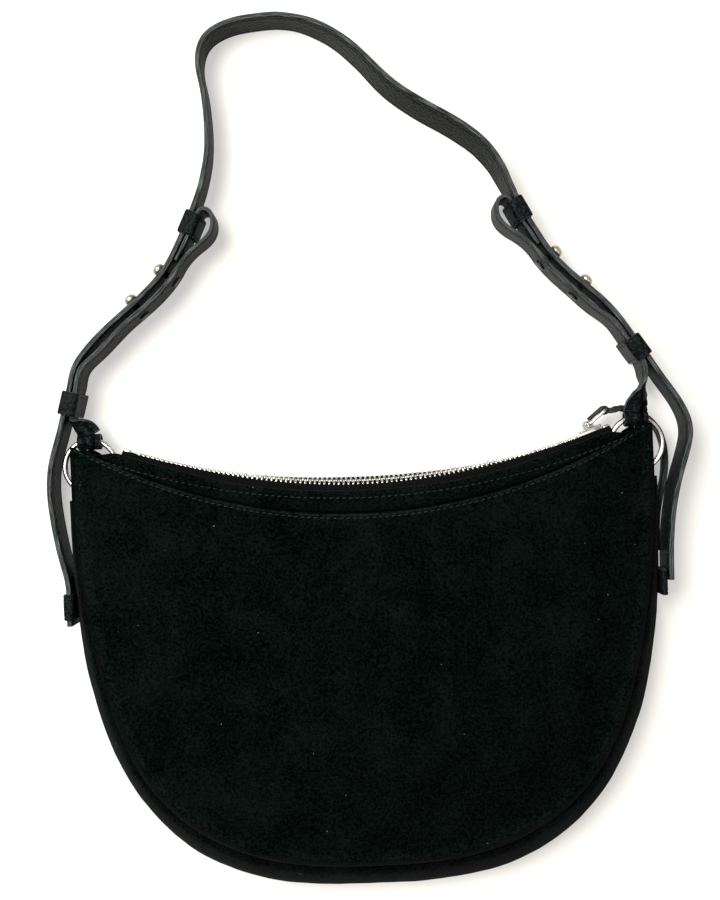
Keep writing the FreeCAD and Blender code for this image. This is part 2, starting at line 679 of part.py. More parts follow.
def lower_strap(branch, ring_x):
    """From the eye at the ring, through the lower keeper and past the studs, to the folded end."""
    stations = []
    for across, up, z, twist, width in necks[branch.side]:
        stations.append((Vector(ring_x + across, strap_eye_level + up, z), twist, width, strap_thickness))
    lowest = lowest_width[branch.side]
    for share in (0.0, 0.35, 0.7, 1.0):
        width = lowest + (strap_width - lowest) * min(1.0, share / 0.7)
        stations.append((branch.point(straight_run * share, layer_pitch, strap_middle), 0.0,
                         width, strap_thickness))
    spread_from = straight_run + spread_length
    spread_to = branch.upper_keeper + fold[0][0]
    for share in (0.0, 0.35, 0.7):
        s = spread_from + (spread_to - spread_from) * share
        stations.append((branch.point(s, layer_spread, strap_middle), 0.0, strap_width, strap_thickness))
    for up, inward in fold:
        thickness = strap_thickness if up == fold[0][0] else fold_thickness
        stations.append((branch.point(branch.upper_keeper + up, inward, strap_middle), 0.0,
                         strap_width, thickness))
    strap = twisted_band(stations).fuse(make_eye(ring_x, strap_eye_level))
    strap = strap.cut(make_eye_bore(ring_x, strap_eye_level))
    for s in branch.studs():
        start = branch.point(s, layer_spread - strap_thickness, strap_middle)
        hole = Part.makeCylinder(screw_shank_radius + stud_hole_clearance, 2 * strap_thickness, start,
                                 branch.inward(s))
        strap = strap.cut(hole)
    return strap


def ball_stud(branch, s):
    """Flange on the lower strap, neck through the shoulder strap's hole, flattened ball outside."""
    seat = layer_spread - strap_thickness / 2 - stud_flange_gap
    ball_near = -strap_thickness / 2 - stud_seat_gap
    outward = branch.inward(s) * -1
    base = branch.point(s, seat, strap_middle)
    flange = Part.makeCylinder(stud_flange_radius, stud_flange_depth, base, outward)
    neck = Part.makeCylinder(stud_neck_radius, seat - ball_near + stud_ball_depth / 2, base, outward)
    ball = Part.makeSphere(stud_ball_radius)
    flatten = FreeCAD.Matrix()
    flatten.scale(1, 1, stud_ball_depth / 2 / stud_ball_radius)
    ball = ball.transformGeometry(flatten)
    middle = branch.point(s, ball_near - stud_ball_depth / 2, strap_middle)
    ball.Placement = FreeCAD.Placement(middle, FreeCAD.Rotation(UP, outward))
    bore = Part.makeCylinder(screw_shank_radius + screw_bore_clearance, screw_grip + screw_end_gap,
                             base, outward)
    return ball.fuse([flange, neck]).cut(bore)


def stud_screw(branch, s):
    """Flat head on the inner face of the lower strap, shank through it into the stud."""
    outward = branch.inward(s) * -1
    seat = layer_spread + strap_thickness / 2 + seam_gap
    base = branch.point(s, seat + screw_head_depth, strap_middle)
    head = Part.makeCylinder(screw_head_radius, screw_head_depth, base, outward)
    shank = Part.makeCylinder(screw_shank_radius, screw_head_depth + strap_thickness + screw_grip,
                              base, outward)
    return head.fuse(shank)


studs = []
screws = []
for branch, ring_x in ((left, ring_left_x), (right, ring_right_x)):
    save("lower_strap_" + branch.side, lower_strap(branch, ring_x))
    save("upper_keeper_" + branch.side,
         branch.keeper(branch.upper_keeper, fold_offset + fold_thickness / 2))
    save("lower_keeper_" + branch.side,
         branch.keeper(keeper_length / 2 + seam_gap, layer_pitch + strap_thickness / 2))
    for s in branch.studs():
        studs.append(ball_stud(branch, s))
        screws.append(stud_screw(branch, s))
        start = branch.point(s, strap_thickness, strap_middle)
        shoulder = shoulder.cut(Part.makeCylinder(stud_neck_radius + stud_hole_clearance,
                                                  2 * strap_thickness, start, branch.inward(s) * -1))
save("shoulder_strap", shoulder)
save("ball_studs", Part.Compound(studs))
save("stud_screws", Part.Compound(screws))

# Side keepers on the gusset, and the strap ends beside them
gusset_x = side_reach(side_keeper_level + side_keeper_length / 2) + seam_gap
keeper_floor = strap_floor - side_keeper_play
keeper_room_height = strap_width + 2 * side_keeper_play
tuck_x = gusset_x + side_keeper_wall + side_keeper_play + strap_thickness / 2


def side_keeper(sign, room):
    """A sewn loop standing on the gusset's side, open along Y."""
    y0 = side_keeper_level - side_keeper_length / 2
    y1 = side_keeper_level + side_keeper_length / 2
    far = gusset_x + 2 * side_keeper_wall + room
    x0, x1 = sorted((sign * gusset_x, sign * far))
    outer = box_between(x0, x1, y0, y1, keeper_floor - side_keeper_wall,
                        keeper_floor + keeper_room_height + side_keeper_wall)
    hollow = box_between(x0 + side_keeper_wall, x1 - side_keeper_wall, y0 - 1, y1 + 1,
                         keeper_floor, keeper_floor + keeper_room_height)
    return outer.cut(hollow)


save("side_keeper_left", side_keeper(-1, strap_thickness + 2 * side_keeper_play))
save("side_keeper_right", side_keeper(1, empty_keeper_room))
tucked = [(-tuck_x, side_keeper_level), (-tuck_x, side_keeper_level - side_keeper_length / 2 - tuck_past)]
save("strap_tail_left", upright_band(left_tail + tucked, strap_floor, strap_width, strap_thickness))
save("strap_tail_right", upright_band(right_tail, strap_floor, strap_width, strap_thickness))
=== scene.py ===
"""Looks of a half moon shoulder bag: black suede body, pebbled leather straps, nickel fittings.

Sizes are in millimetres in the CAD frame: +Z up from the floor, +Y towards the strap.
"""
import logging
import math
from dataclasses import dataclass, field
from enum import Enum, IntEnum
from typing import Any, Sequence

import bmesh
import bpy
import numpy as np
from mathutils import Matrix


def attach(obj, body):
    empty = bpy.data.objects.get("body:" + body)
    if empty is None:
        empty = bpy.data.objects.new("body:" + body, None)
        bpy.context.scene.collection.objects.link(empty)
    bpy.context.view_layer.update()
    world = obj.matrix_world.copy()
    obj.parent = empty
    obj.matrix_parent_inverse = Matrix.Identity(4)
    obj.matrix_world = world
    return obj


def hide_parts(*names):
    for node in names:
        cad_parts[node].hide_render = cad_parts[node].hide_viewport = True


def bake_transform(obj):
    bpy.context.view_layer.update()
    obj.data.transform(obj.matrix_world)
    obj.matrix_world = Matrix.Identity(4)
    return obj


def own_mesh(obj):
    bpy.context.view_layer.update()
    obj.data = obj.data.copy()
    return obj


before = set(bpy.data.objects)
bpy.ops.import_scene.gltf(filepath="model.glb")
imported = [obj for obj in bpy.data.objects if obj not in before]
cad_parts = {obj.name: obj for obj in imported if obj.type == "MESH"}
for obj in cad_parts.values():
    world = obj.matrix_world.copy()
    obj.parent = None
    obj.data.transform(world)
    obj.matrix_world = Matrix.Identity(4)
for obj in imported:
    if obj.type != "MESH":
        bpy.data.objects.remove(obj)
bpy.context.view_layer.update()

LOG = logging.getLogger("half_moon_bag")
MM = 0.001
UV_UNIT = 10.0                # millimetres in one unit of a piece's UV map
UP = np.array((0.0, 0.0, 1.0))
Array = np.ndarray
Pair = tuple[float, float]
Point = tuple[float, float, float]
Station = tuple[float, float, float, float, float, float]  # x, y, z, twist in degrees, width, thickness
Material, NodeTree, Object = bpy.types.Material, bpy.types.NodeTree, bpy.types.Object


class Body(Enum):
    """The rigid bodies that pieces ride on."""

    BAG = "bag"
    SLIDER = "zip_slider"
    PULL = "zip_pull"
    RING_LEFT = "ring_left"
    RING_RIGHT = "ring_right"
    STRAP = "strap"
    KEEPER_LEFT = "lower_keeper_left"
    KEEPER_RIGHT = "lower_keeper_right"


class Side(Enum):
    """The two ends of the mouth: the sign of X there."""

    LEFT = -1
    RIGHT = 1

    @property
    def word(self) -> str:
        """The side's name as the nodes spell it."""
        return self.name.lower()


class Cloth(Enum):
    """What the sheets of the body are made of, as their pieces' names end."""

    SUEDE = "suede"
    COTTON = "cotton"

    @property
    def slot(self) -> str:
        """The record's material slot."""
        return "suede" if self is Cloth.SUEDE else "lining"


class StrapFinish(IntEnum):
    """Places of a sewn strap's finishes in its list."""

    FACE = 0
    EDGE = 1
    THREAD = 2


def linear(code: str) -> tuple[float, float, float, float]:
    """Turns an sRGB hex colour to linear light.

    Args:
        code: six hex digits with a leading hash.

    Returns:
        Linear red, green, blue and an alpha of one.
    """
    srgb = np.array([int(code[i:i + 2], 16) for i in (1, 3, 5)]) / 255.0
    lin = np.where(srgb <= 0.04045, srgb / 12.92, ((srgb + 0.055) / 1.055) ** 2.4)
    return (*lin.tolist(), 1.0)


def per_mm(size: float) -> float:
    """Texture scale on Object coordinates for a pattern of the given size in millimetres."""
    return 1.0 / (size * MM)


def wire(tree: NodeTree, node: bpy.types.Node, inputs: dict[Any, Any]) -> None:
    """Sets or links a node's inputs.

    Args:
        tree: the node tree.
        node: the node.
        inputs: input name or index to a value, or to the output socket it is linked from.
    """
    for key, value in inputs.items():
        if isinstance(value, bpy.types.NodeSocket):
            tree.links.new(value, node.inputs[key])
        else:
            node.inputs[key].default_value = value


def add_node(tree: NodeTree, kind: str, inputs: dict[Any, Any] | None = None,
             stops: Sequence[tuple[float, str]] = (), **settings: Any) -> bpy.types.Node:
    """Adds a node, sets its properties, and sets or links its inputs.

    Args:
        tree: the node tree that gets the node.
        kind: the node's type name, after ShaderNode.
        inputs: as for wire.
        stops: position and sRGB hex colour of each stop, where the node has a colour ramp.
        settings: the node's own properties.

    Returns:
        The new node.
    """
    node = tree.nodes.new("ShaderNode" + kind)
    for key, value in settings.items():
        setattr(node, key, value)
    wire(tree, node, inputs or {})
    for k, (position, code) in enumerate(stops):
        node.color_ramp.elements[k].position = position
        node.color_ramp.elements[k].color = linear(code)
    return node


def new_material(name: str) -> tuple[Material, NodeTree, bpy.types.Node]:
    """Starts a material with one Principled shader.

    Args:
        name: the material's name.

    Returns:
        The material, its tree and its shader node.
    """
    material = bpy.data.materials.new(name)
    material.use_nodes = True
    tree = material.node_tree
    return material, tree, tree.nodes["Principled BSDF"]


@dataclass(frozen=True)
class Suede:
    """Black napped suede: split leather, sanded to a short nap that drinks the light."""

    name: str = "black_suede_nap"
    deep: str = "#000201"
    brushed: str = "#0A0F0E"
    lint: str = "#7A7D7E"
    fibre: float = 1.3            # tufts of nap, drawn coarser than the real 0.3 mm so that they show
    cloud: float = 20.0           # patches where the nap was brushed another way
    tuft_share: float = 0.7       # how much of the tone is tufts, the rest clouds
    speck: float = 5.0            # spacing of lint
    bare_share: float = 0.86      # share of those places that hold none
    lint_radius: float = 0.055    # a speck's radius, as a share of the spacing
    lint_cover: float = 0.55      # how much of the nap a speck hides
    sheen: float = 0.03

    def build(self) -> Material:
        """Matt black with cloudy nap, a fine fibre grain and a soft sheen at grazing angles.

        Returns:
            The material.
        """
        material, tree, shader = new_material(self.name)
        spot = add_node(tree, "TexCoord").outputs["Object"]
        clouds = add_node(tree, "TexNoise", {
            "Vector": spot, "Scale": per_mm(self.cloud), "Detail": 4.0, "Roughness": 0.55})
        fibres = add_node(tree, "TexNoise", {
            "Vector": spot, "Scale": per_mm(self.fibre), "Detail": 2.0, "Roughness": 0.7})
        both = add_node(tree, "Mix", {0: self.tuft_share, 2: clouds.outputs["Fac"], 3: fibres.outputs["Fac"]})
        nap = add_node(tree, "ValToRGB", {"Fac": both.outputs[0]}, ((0.40, self.deep), (0.64, self.brushed)))
        # painted shade: the pieces' crease attribute darkens the nap in their seams, and where it is below zero
        # it lightens the nap as a painted highlight
        crease = add_node(tree, "Attribute", attribute_name="crease")
        open_share = add_node(tree, "Math", {0: 1.0, 1: crease.outputs["Fac"]}, operation="SUBTRACT")
        shaded = add_node(tree, "VectorMath", {
            0: nap.outputs["Color"], "Scale": open_share.outputs[0]}, operation="SCALE")
        cells = add_node(tree, "TexVoronoi", {"Vector": spot, "Scale": per_mm(self.speck)})
        chosen = add_node(tree, "SeparateColor", {"Color": cells.outputs["Color"]})
        rare = add_node(tree, "Math", {0: chosen.outputs["Red"], 1: self.bare_share}, operation="GREATER_THAN")
        dot = add_node(tree, "Math", {0: cells.outputs["Distance"], 1: self.lint_radius}, operation="LESS_THAN")
        seen = add_node(tree, "Math", {0: rare.outputs[0], 1: dot.outputs[0]}, operation="MULTIPLY")
        share = add_node(tree, "Math", {0: seen.outputs[0], 1: self.lint_cover}, operation="MULTIPLY")
        colour = add_node(tree, "Mix", {
            0: share.outputs[0], 6: shaded.outputs[0], 7: linear(self.lint)}, data_type="RGBA")
        bump = add_node(tree, "Bump", {"Height": fibres.outputs["Fac"], "Strength": 0.5, "Distance": 0.25 * MM})
        soft = add_node(tree, "Bump", {
            "Height": clouds.outputs["Fac"], "Strength": 0.35, "Distance": 1.2 * MM,
            "Normal": bump.outputs["Normal"]})
        wire(tree, shader, {
            "Base Color": colour.outputs[2], "Normal": soft.outputs["Normal"], "Roughness": 0.95,
            "Specular IOR Level": 0.0, "Sheen Weight": self.sheen, "Sheen Roughness": 0.45})
        return material


@dataclass(frozen=True)
class PebbledLeather:
    """Black drum-dyed cowhide, embossed with a pebble grain and lightly waxed."""

    name: str = "pebbled_black_leather"
    # dark and light colour the worn patches, and also paint shade into the pebbles' pits and a highlight onto
    # their tops
    dark: str = "#010303"
    light: str = "#192121"
    pebble: float = 1.5           # grain cells of the larger, drummed kind
    stray: float = 0.6            # how far the cells stray from even places
    stray_wave: float = 2.4       # size of the waves that they stray in
    crease: float = 7.0           # size of worn and creased patches
    painted_pebble_share: float = 0.72     # how much of the tone is the pebbles' painted shade and highlight, the rest wear
    polish: float = 0.44
    shine: float = 0.045

    def build(self) -> Material:
        """Satin black whose pebbles catch small highlights, with painted shade in their pits and a painted
        highlight on their tops, duller where it has creased.

        Returns:
            The material.
        """
        material, tree, shader = new_material(self.name)
        spot = add_node(tree, "TexCoord").outputs["Object"]
        sway = add_node(tree, "TexNoise", {"Vector": spot, "Scale": per_mm(self.stray_wave), "Detail": 2.0})
        moved = add_node(tree, "MixRGB", {
            "Fac": self.stray * MM, "Color1": spot, "Color2": sway.outputs["Color"]}, blend_type="ADD")
        cells = add_node(tree, "TexVoronoi", {
            "Vector": moved.outputs[0], "Scale": per_mm(self.pebble), "Smoothness": 0.6}, feature="SMOOTH_F1")
        wear = add_node(tree, "TexNoise", {
            "Vector": spot, "Scale": per_mm(self.crease), "Detail": 6.0, "Roughness": 0.65, "Distortion": 0.8})
        worn = add_node(tree, "ValToRGB", {"Fac": wear.outputs["Fac"]}, ((0.32, self.dark), (0.75, self.light)))
        # painted shade in the pits between the pebbles and painted highlight on their tops
        painted_pebble_shade = add_node(tree, "ValToRGB", {
            "Fac": cells.outputs["Distance"]}, ((0.12, self.light), (0.5, self.dark)))
        both = add_node(tree, "Mix", {
            0: self.painted_pebble_share, 6: worn.outputs["Color"], 7: painted_pebble_shade.outputs["Color"]}, data_type="RGBA")
        rough = add_node(tree, "MapRange", {
            "Value": wear.outputs["Fac"], "To Min": self.polish - 0.10, "To Max": self.polish + 0.16})
        grain = add_node(tree, "Bump", {
            "Height": cells.outputs["Distance"], "Strength": 0.9, "Distance": 0.5 * MM}, invert=True)
        creased = add_node(tree, "Bump", {
            "Height": wear.outputs["Fac"], "Strength": 0.3, "Distance": 0.8 * MM,
            "Normal": grain.outputs["Normal"]})
        wire(tree, shader, {
            "Base Color": both.outputs[2], "Roughness": rough.outputs["Result"],
            "Normal": creased.outputs["Normal"], "Specular IOR Level": self.shine})
        return material


@dataclass(frozen=True)
class CutEdge:
    """The cut edge of two glued layers of dyed leather, sanded and left bare."""

    name: str = "bare_leather_edge"
    dark: str = "#050606"
    light: str = "#59615F"
    streak: float = 0.22          # width of a layer of fibres
    run: float = 9.0              # length that one streak keeps its tone

    def build(self) -> Material:
        """Grey, dull and fibrous, lighter than the grain side.

        Returns:
            The material.
        """
        material, tree, shader = new_material(self.name)
        spot = add_node(tree, "TexCoord").outputs["UV"]
        drawn = add_node(tree, "Mapping", {
            "Vector": spot, "Scale": (UV_UNIT / self.run, UV_UNIT / self.streak, 1.0)})
        fibres = add_node(tree, "TexNoise", {
            "Vector": drawn.outputs["Vector"], "Scale": 1.0, "Detail": 3.0, "Roughness": 0.6})
        colour = add_node(tree, "ValToRGB", {
            "Fac": fibres.outputs["Fac"]}, ((0.44, self.dark), (0.64, self.light)))
        bump = add_node(tree, "Bump", {"Height": fibres.outputs["Fac"], "Strength": 0.5, "Distance": 0.18 * MM})
        wire(tree, shader, {
            "Base Color": colour.outputs["Color"], "Normal": bump.outputs["Normal"], "Roughness": 0.78,
            "Specular IOR Level": 0.12})
        return material


@dataclass(frozen=True)
class Thread:
    """Bonded polyester sewing thread, three plies twisted."""

    name: str = "bonded_polyester_thread"
    dark: str = "#090A0A"
    light: str = "#1E2221"
    ply: float = 0.35             # width of one twisted ply

    def build(self) -> Material:
        """Nearly black, with a dull waxy gleam and a fine twist.

        Returns:
            The material.
        """
        material, tree, shader = new_material(self.name)
        spot = add_node(tree, "TexCoord").outputs["Object"]
        twist = add_node(tree, "TexWave", {
            "Vector": spot, "Scale": per_mm(self.ply) / 6.0, "Distortion": 1.5}, bands_direction="DIAGONAL")
        colour = add_node(tree, "ValToRGB", {
            "Fac": twist.outputs["Fac"]}, ((0.2, self.dark), (0.8, self.light)))
        wire(tree, shader, {
            "Base Color": colour.outputs["Color"], "Roughness": 0.6, "Specular IOR Level": 0.15})
        return material


@dataclass(frozen=True)
class WovenCloth:
    """Plain woven cotton, seen as a small over-and-under weave on the piece's UV map."""

    name: str
    warp: str
    weft: str
    thread: float                 # thread spacing in millimetres

    def build(self) -> Material:
        """Matt cloth with crossing ribs.

        Returns:
            The material.
        """
        material, tree, shader = new_material(self.name)
        spot = add_node(tree, "TexCoord").outputs["UV"]
        scale = math.pi / self.thread  # a wave turns twenty radians in a unit of UV, which is ten millimetres
        along = add_node(tree, "TexWave", {"Vector": spot, "Scale": scale}, bands_direction="X")
        across = add_node(tree, "TexWave", {"Vector": spot, "Scale": scale}, bands_direction="Y")
        weave = add_node(tree, "Math", {
            0: along.outputs["Fac"], 1: across.outputs["Fac"]}, operation="MULTIPLY")
        colour = add_node(tree, "ValToRGB", {"Fac": weave.outputs[0]}, ((0.05, self.warp), (0.8, self.weft)))
        bump = add_node(tree, "Bump", {"Height": weave.outputs[0], "Strength": 0.5, "Distance": 0.15 * MM})
        wire(tree, shader, {
            "Base Color": colour.outputs["Color"], "Normal": bump.outputs["Normal"], "Roughness": 0.9,
            "Specular IOR Level": 0.05})
        return material


@dataclass(frozen=True)
class Plate:
    """Plated die-cast zinc: polished or worn nickel."""

    name: str
    bright: str
    dull: str
    polish: float
    patch: float                  # size of the tarnish clouds
    scratch: float = 0.5          # width of a rubbed streak

    def build(self) -> Material:
        """Metal with cloudy tarnish and fine rubbed scratches.

        Returns:
            The material.
        """
        material, tree, shader = new_material(self.name)
        spot = add_node(tree, "TexCoord").outputs["Object"]
        cloud = add_node(tree, "TexNoise", {
            "Vector": spot, "Scale": per_mm(self.patch), "Detail": 5.0, "Roughness": 0.6})
        rub = add_node(tree, "TexNoise", {
            "Vector": spot, "Scale": per_mm(self.scratch), "Detail": 2.0, "Distortion": 1.2})
        colour = add_node(tree, "ValToRGB", {
            "Fac": cloud.outputs["Fac"]}, ((0.34, self.dull), (0.6, self.bright)))
        rough = add_node(tree, "MapRange", {
            "Value": cloud.outputs["Fac"], "To Min": self.polish + 0.14, "To Max": self.polish})
        bump = add_node(tree, "Bump", {"Height": rub.outputs["Fac"], "Strength": 0.12, "Distance": 0.03 * MM})
        wire(tree, shader, {
            "Base Color": colour.outputs["Color"], "Roughness": rough.outputs["Result"],
            "Normal": bump.outputs["Normal"], "Metallic": 1.0})
        return material


@dataclass(frozen=True)
class Paper:
    """The plain white sheet under the bag."""

    name: str = "white_sheet"
    tone: str = "#FAF5EA"
    glow: float = 0.45            # share of plain white near the bag
    near: float = 0.42            # metres from the bag where the sheet starts to fade to white
    far: float = 1.0              # metres from the bag where it is all white

    def build(self) -> Material:
        """Matt white, part of it white to the camera and to reflections, so that it keeps soft shadows.

        Returns:
            The material.
        """
        material, tree, shader = new_material(self.name)
        wire(tree, shader, {"Base Color": linear(self.tone), "Roughness": 1.0, "Specular IOR Level": 0.0})
        white = add_node(tree, "Emission", {"Color": (1.0, 1.0, 1.0, 1.0), "Strength": 1.0})
        path = add_node(tree, "LightPath")
        seen = add_node(tree, "Math", {
            0: path.outputs["Is Camera Ray"], 1: path.outputs["Is Glossy Ray"]}, operation="MAXIMUM")
        through = add_node(tree, "Math", {
            0: seen.outputs[0], 1: path.outputs["Is Transmission Ray"]}, operation="MAXIMUM")
        spot = add_node(tree, "TexCoord").outputs["Object"]
        away = add_node(tree, "VectorMath", {0: spot}, operation="LENGTH")
        white_share = add_node(tree, "MapRange", {
            "Value": away.outputs["Value"], "From Min": self.near, "From Max": self.far, "To Min": self.glow,
            "To Max": 1.0}, interpolation_type="SMOOTHSTEP")
        share = add_node(tree, "Math", {
            0: through.outputs[0], 1: white_share.outputs["Result"]}, operation="MULTIPLY")
        mix = add_node(tree, "MixShader", {
            "Fac": share.outputs[0], 1: shader.outputs["BSDF"], 2: white.outputs["Emission"]})
        wire(tree, tree.nodes["Material Output"], {"Surface": mix.outputs["Shader"]})
        return material


class Finishes:
    """Every finish on the bag, built once."""

    def __init__(self) -> None:
        """Builds them."""
        self.suede = Suede().build()
        self.leather = PebbledLeather().build()
        self.edge = CutEdge().build()
        self.thread = Thread().build()
        self.tape = WovenCloth("woven_zip_tape", "#040404", "#0C0B0A", 0.55).build()
        self.lining = WovenCloth("cotton_lining", "#1F1D1B", "#3A3733", 0.6).build()
        self.nickel = Plate("polished_nickel_plate", "#D2D0CB", "#A5A39D", 0.2, 4.0).build()
        self.antique = Plate("antique_nickel_plate", "#BBB3A5", "#857D70", 0.3, 3.0).build()
        self.tarnished = Plate("tarnished_nickel_plate", "#3A3733", "#1E1C1A", 0.4, 2.0).build()


def unit(v: Array) -> Array:
    """Vectors along the last axis, brought to length one."""
    return v / np.linalg.norm(v, axis=-1, keepdims=True)


def smooth(t: Array) -> Array:
    """Eased step of t between zero and one: 3t^2 - 2t^3."""
    t = np.clip(t, 0.0, 1.0)
    return t * t * (3.0 - 2.0 * t)


def bell(distance: Array, width: float) -> Array:
    """Bell curve: e to the minus square of distance over width."""
    return np.exp(-(distance / width) ** 2)


def full_turn(steps: int) -> Array:
    """Even angles once round, without the last, which is the first again."""
    return np.linspace(0.0, 2.0 * math.pi, steps + 1)[:-1]


def lengths_along(path: Array) -> Array:
    """Length from the start of a polyline to each of its points."""
    return np.concatenate(([0.0], np.cumsum(np.linalg.norm(np.diff(path, axis=0), axis=1))))


def wander(s: Array, seed: int, wave: float) -> Array:
    """A slow uneven wave of about unit height: five sines of seeded phase, each shorter than the last.

    Args:
        s: lengths in millimetres.
        seed: picks the phases.
        wave: length of the slowest wave.

    Returns:
        One value for each length.
    """
    random = np.random.default_rng(seed)
    phase = random.uniform(0.0, 2.0 * math.pi, 5)
    pace = 2.0 * math.pi / wave * np.array((1.0, 1.7, 2.9, 4.3, 6.7)) * random.uniform(0.9, 1.1, 5)
    return (np.sin(s[..., None] * pace + phase) * np.array((0.5, 0.3, 0.2, 0.12, 0.08))).sum(axis=-1)


def resample(path: Array, count: int) -> Array:
    """Points at even lengths along a polyline.

    Args:
        path: points, one row each.
        count: how many points to return.

    Returns:
        The new points.
    """
    reach = lengths_along(path)
    at = np.linspace(0.0, reach[-1], count)
    return np.stack([np.interp(at, reach, path[:, k]) for k in range(path.shape[1])], axis=1)


def natural_cubic(knots: Array, values: Array, at: Array) -> Array:
    """Natural cubic spline: second derivatives from the tridiagonal continuity equations, zero at both ends.

    Args:
        knots: rising parameters.
        values: one row for each knot.
        at: parameters to evaluate.

    Returns:
        One row for each parameter in at.
    """
    h = np.diff(knots)[:, None]
    n = len(knots)
    matrix = np.eye(n)
    right = np.zeros_like(values)
    inner = np.arange(1, n - 1)
    matrix[inner, inner - 1] = h[:-1, 0]
    matrix[inner, inner] = 2.0 * (h[:-1, 0] + h[1:, 0])
    matrix[inner, inner + 1] = h[1:, 0]
    slope = np.diff(values, axis=0) / h
    right[1:-1] = 6.0 * np.diff(slope, axis=0)
    bend = np.linalg.solve(matrix, right)
    k = np.clip(np.searchsorted(knots, at, side="right") - 1, 0, n - 2)
    a = ((knots[k + 1] - at) / h[k, 0])[:, None]
    b = 1.0 - a
    return (a * values[k] + b * values[k + 1]
            + ((a ** 3 - a) * bend[k] + (b ** 3 - b) * bend[k + 1]) * h[k] ** 2 / 6.0)


@dataclass
class Surface:
    """A piece's points in millimetres, its faces, their UV in centimetres and their finish."""

    points: Array
    faces: Array
    uv: Array
    finish: Array

    @classmethod
    def grid(cls, points: Array, wrap: tuple[bool, bool] = (False, False), finish: Array | int = 0,
             flip: bool = False) -> "Surface":
        """Quads between neighbours of a grid of points, their UV the mean lengths down the rows and columns.

        Args:
            points: array of rows by columns by three.
            wrap: whether the rows and the columns close on themselves.
            finish: finish index of each quad, or one for all.
            flip: turn the faces over.

        Returns:
            The surface.
        """
        rows, columns = points.shape[:2]
        index = np.arange(rows * columns).reshape(rows, columns)
        down = np.linalg.norm(np.diff(points, axis=0), axis=2).mean(axis=1)
        side = np.linalg.norm(np.diff(points, axis=1), axis=2).mean(axis=0)
        grid = np.meshgrid(np.concatenate(([0.0], np.cumsum(down))),
                           np.concatenate(([0.0], np.cumsum(side))), indexing="ij")
        uv = np.stack(grid, axis=2) / UV_UNIT
        for axis in (0, 1):
            if wrap[axis]:
                first = np.take(index, [0], axis=axis)
                last = np.take(uv, [-1], axis=axis)
                step = last - np.take(uv, [-2], axis=axis)
                index = np.concatenate((index, first), axis=axis)
                uv = np.concatenate((uv, last + step), axis=axis)
        order = (slice(None, -1), slice(1, None))
        corners = [(0, 0), (1, 0), (1, 1), (0, 1)]
        corners = corners[::-1] if flip else corners
        faces = np.stack([index[order[i], order[j]] for i, j in corners], axis=-1)
        loops = np.stack([uv[order[i], order[j]] for i, j in corners], axis=-2)
        finishes = np.broadcast_to(np.asarray(finish), faces.shape[:2])
        return cls(points.reshape(-1, 3), faces.reshape(-1, 4), loops.reshape(-1, 4, 2),
                   finishes.reshape(-1).copy())

    @classmethod
    def copies(cls, grids: Array, finish: int = 0) -> "Surface":
        """Many small grids of one kind, each closed round its columns.

        Args:
            grids: array of copies by rows by columns by three.
            finish: finish index.

        Returns:
            All copies as one surface.
        """
        count, rows, columns = grids.shape[:3]
        one = cls.grid(grids[0], wrap=(False, True))
        first = (np.arange(count) * rows * columns)[:, None, None]
        faces = (one.faces[None] + first).reshape(-1, 4)
        finishes = np.full(len(faces), int(finish))
        return cls(grids.reshape(-1, 3), faces, np.tile(one.uv, (count, 1, 1)), finishes)

    def __add__(self, other: "Surface") -> "Surface":
        """Both surfaces as one."""
        return Surface(np.concatenate((self.points, other.points)),
                       np.concatenate((self.faces, other.faces + len(self.points))),
                       np.concatenate((self.uv, other.uv)), np.concatenate((self.finish, other.finish)))

    def to_object(self, name: str, finishes: Sequence[Material], closed: bool = True,
                  crease: Array | None = None) -> Object:
        """Puts the surface in a mesh object at the origin.

        Args:
            name: the object's name.
            finishes: materials, in the order of the finish indices.
            closed: turn every face outwards, for a closed surface.
            crease: painted shade on each point's nap, how much darker it is, below zero for a painted highlight
                that makes it lighter.

        Returns:
            The object.
        """
        mesh = bpy.data.meshes.new(name)
        mesh.from_pydata((self.points * MM).tolist(), [], self.faces.tolist())
        layer = mesh.uv_layers.new(name="UVMap")
        layer.data.foreach_set("uv", self.uv.reshape(-1).astype(np.float32))
        mesh.polygons.foreach_set("material_index", self.finish.astype(np.int32))
        if crease is not None:
            shade = mesh.attributes.new("crease", "FLOAT", "POINT")
            shade.data.foreach_set("value", crease.ravel().astype(np.float32))
        work = bmesh.new()
        work.from_mesh(mesh)
        bmesh.ops.remove_doubles(work, verts=work.verts, dist=2e-7)
        if closed:
            bmesh.ops.recalc_face_normals(work, faces=work.faces)
        work.to_mesh(mesh)
        work.free()
        mesh.polygons.foreach_set("use_smooth", np.ones(len(mesh.polygons), dtype=bool))
        for material in finishes:
            mesh.materials.append(material)
        mesh.update()
        piece = bpy.data.objects.new(name, mesh)
        bpy.context.scene.collection.objects.link(piece)
        return piece


def joined(parts: Sequence[Surface]) -> Surface:
    """Several surfaces as one, in their order."""
    return sum(parts[1:], parts[0])


def place(piece: Object, body: Body, slot: str, *nodes: str) -> Object:
    """Makes a piece ride on a body and stand for CAD nodes.

    Args:
        piece: the object.
        body: the body that carries it.
        slot: not used.
        nodes: the CAD nodes it replaces.

    Returns:
        The same object.
    """
    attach(piece, body.value)
    if nodes:
        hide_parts(*nodes)
    LOG.info("%s rides on %s for %s", piece.name, body.value, ", ".join(nodes) or "itself")
    return piece


def bend_between(piece: Object,
                 node: str) -> None:
    """Bakes a soft piece's placement into its mesh and makes it stand for a CAD node.

    Args:
        piece: the object.
        node: the CAD node it replaces.
    """
    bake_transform(piece)
    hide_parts(node)


def solidify(piece: Object, thickness: float, offset: float = -1.0) -> None:
    """Gives a sheet its thickness.

    Args:
        piece: the sheet.
        thickness: in millimetres.
        offset: minus one to lie below its outer face, zero to lie on both sides of it.
    """
    modifier = piece.modifiers.new("thickness", "SOLIDIFY")
    modifier.thickness = thickness * MM
    modifier.offset = offset


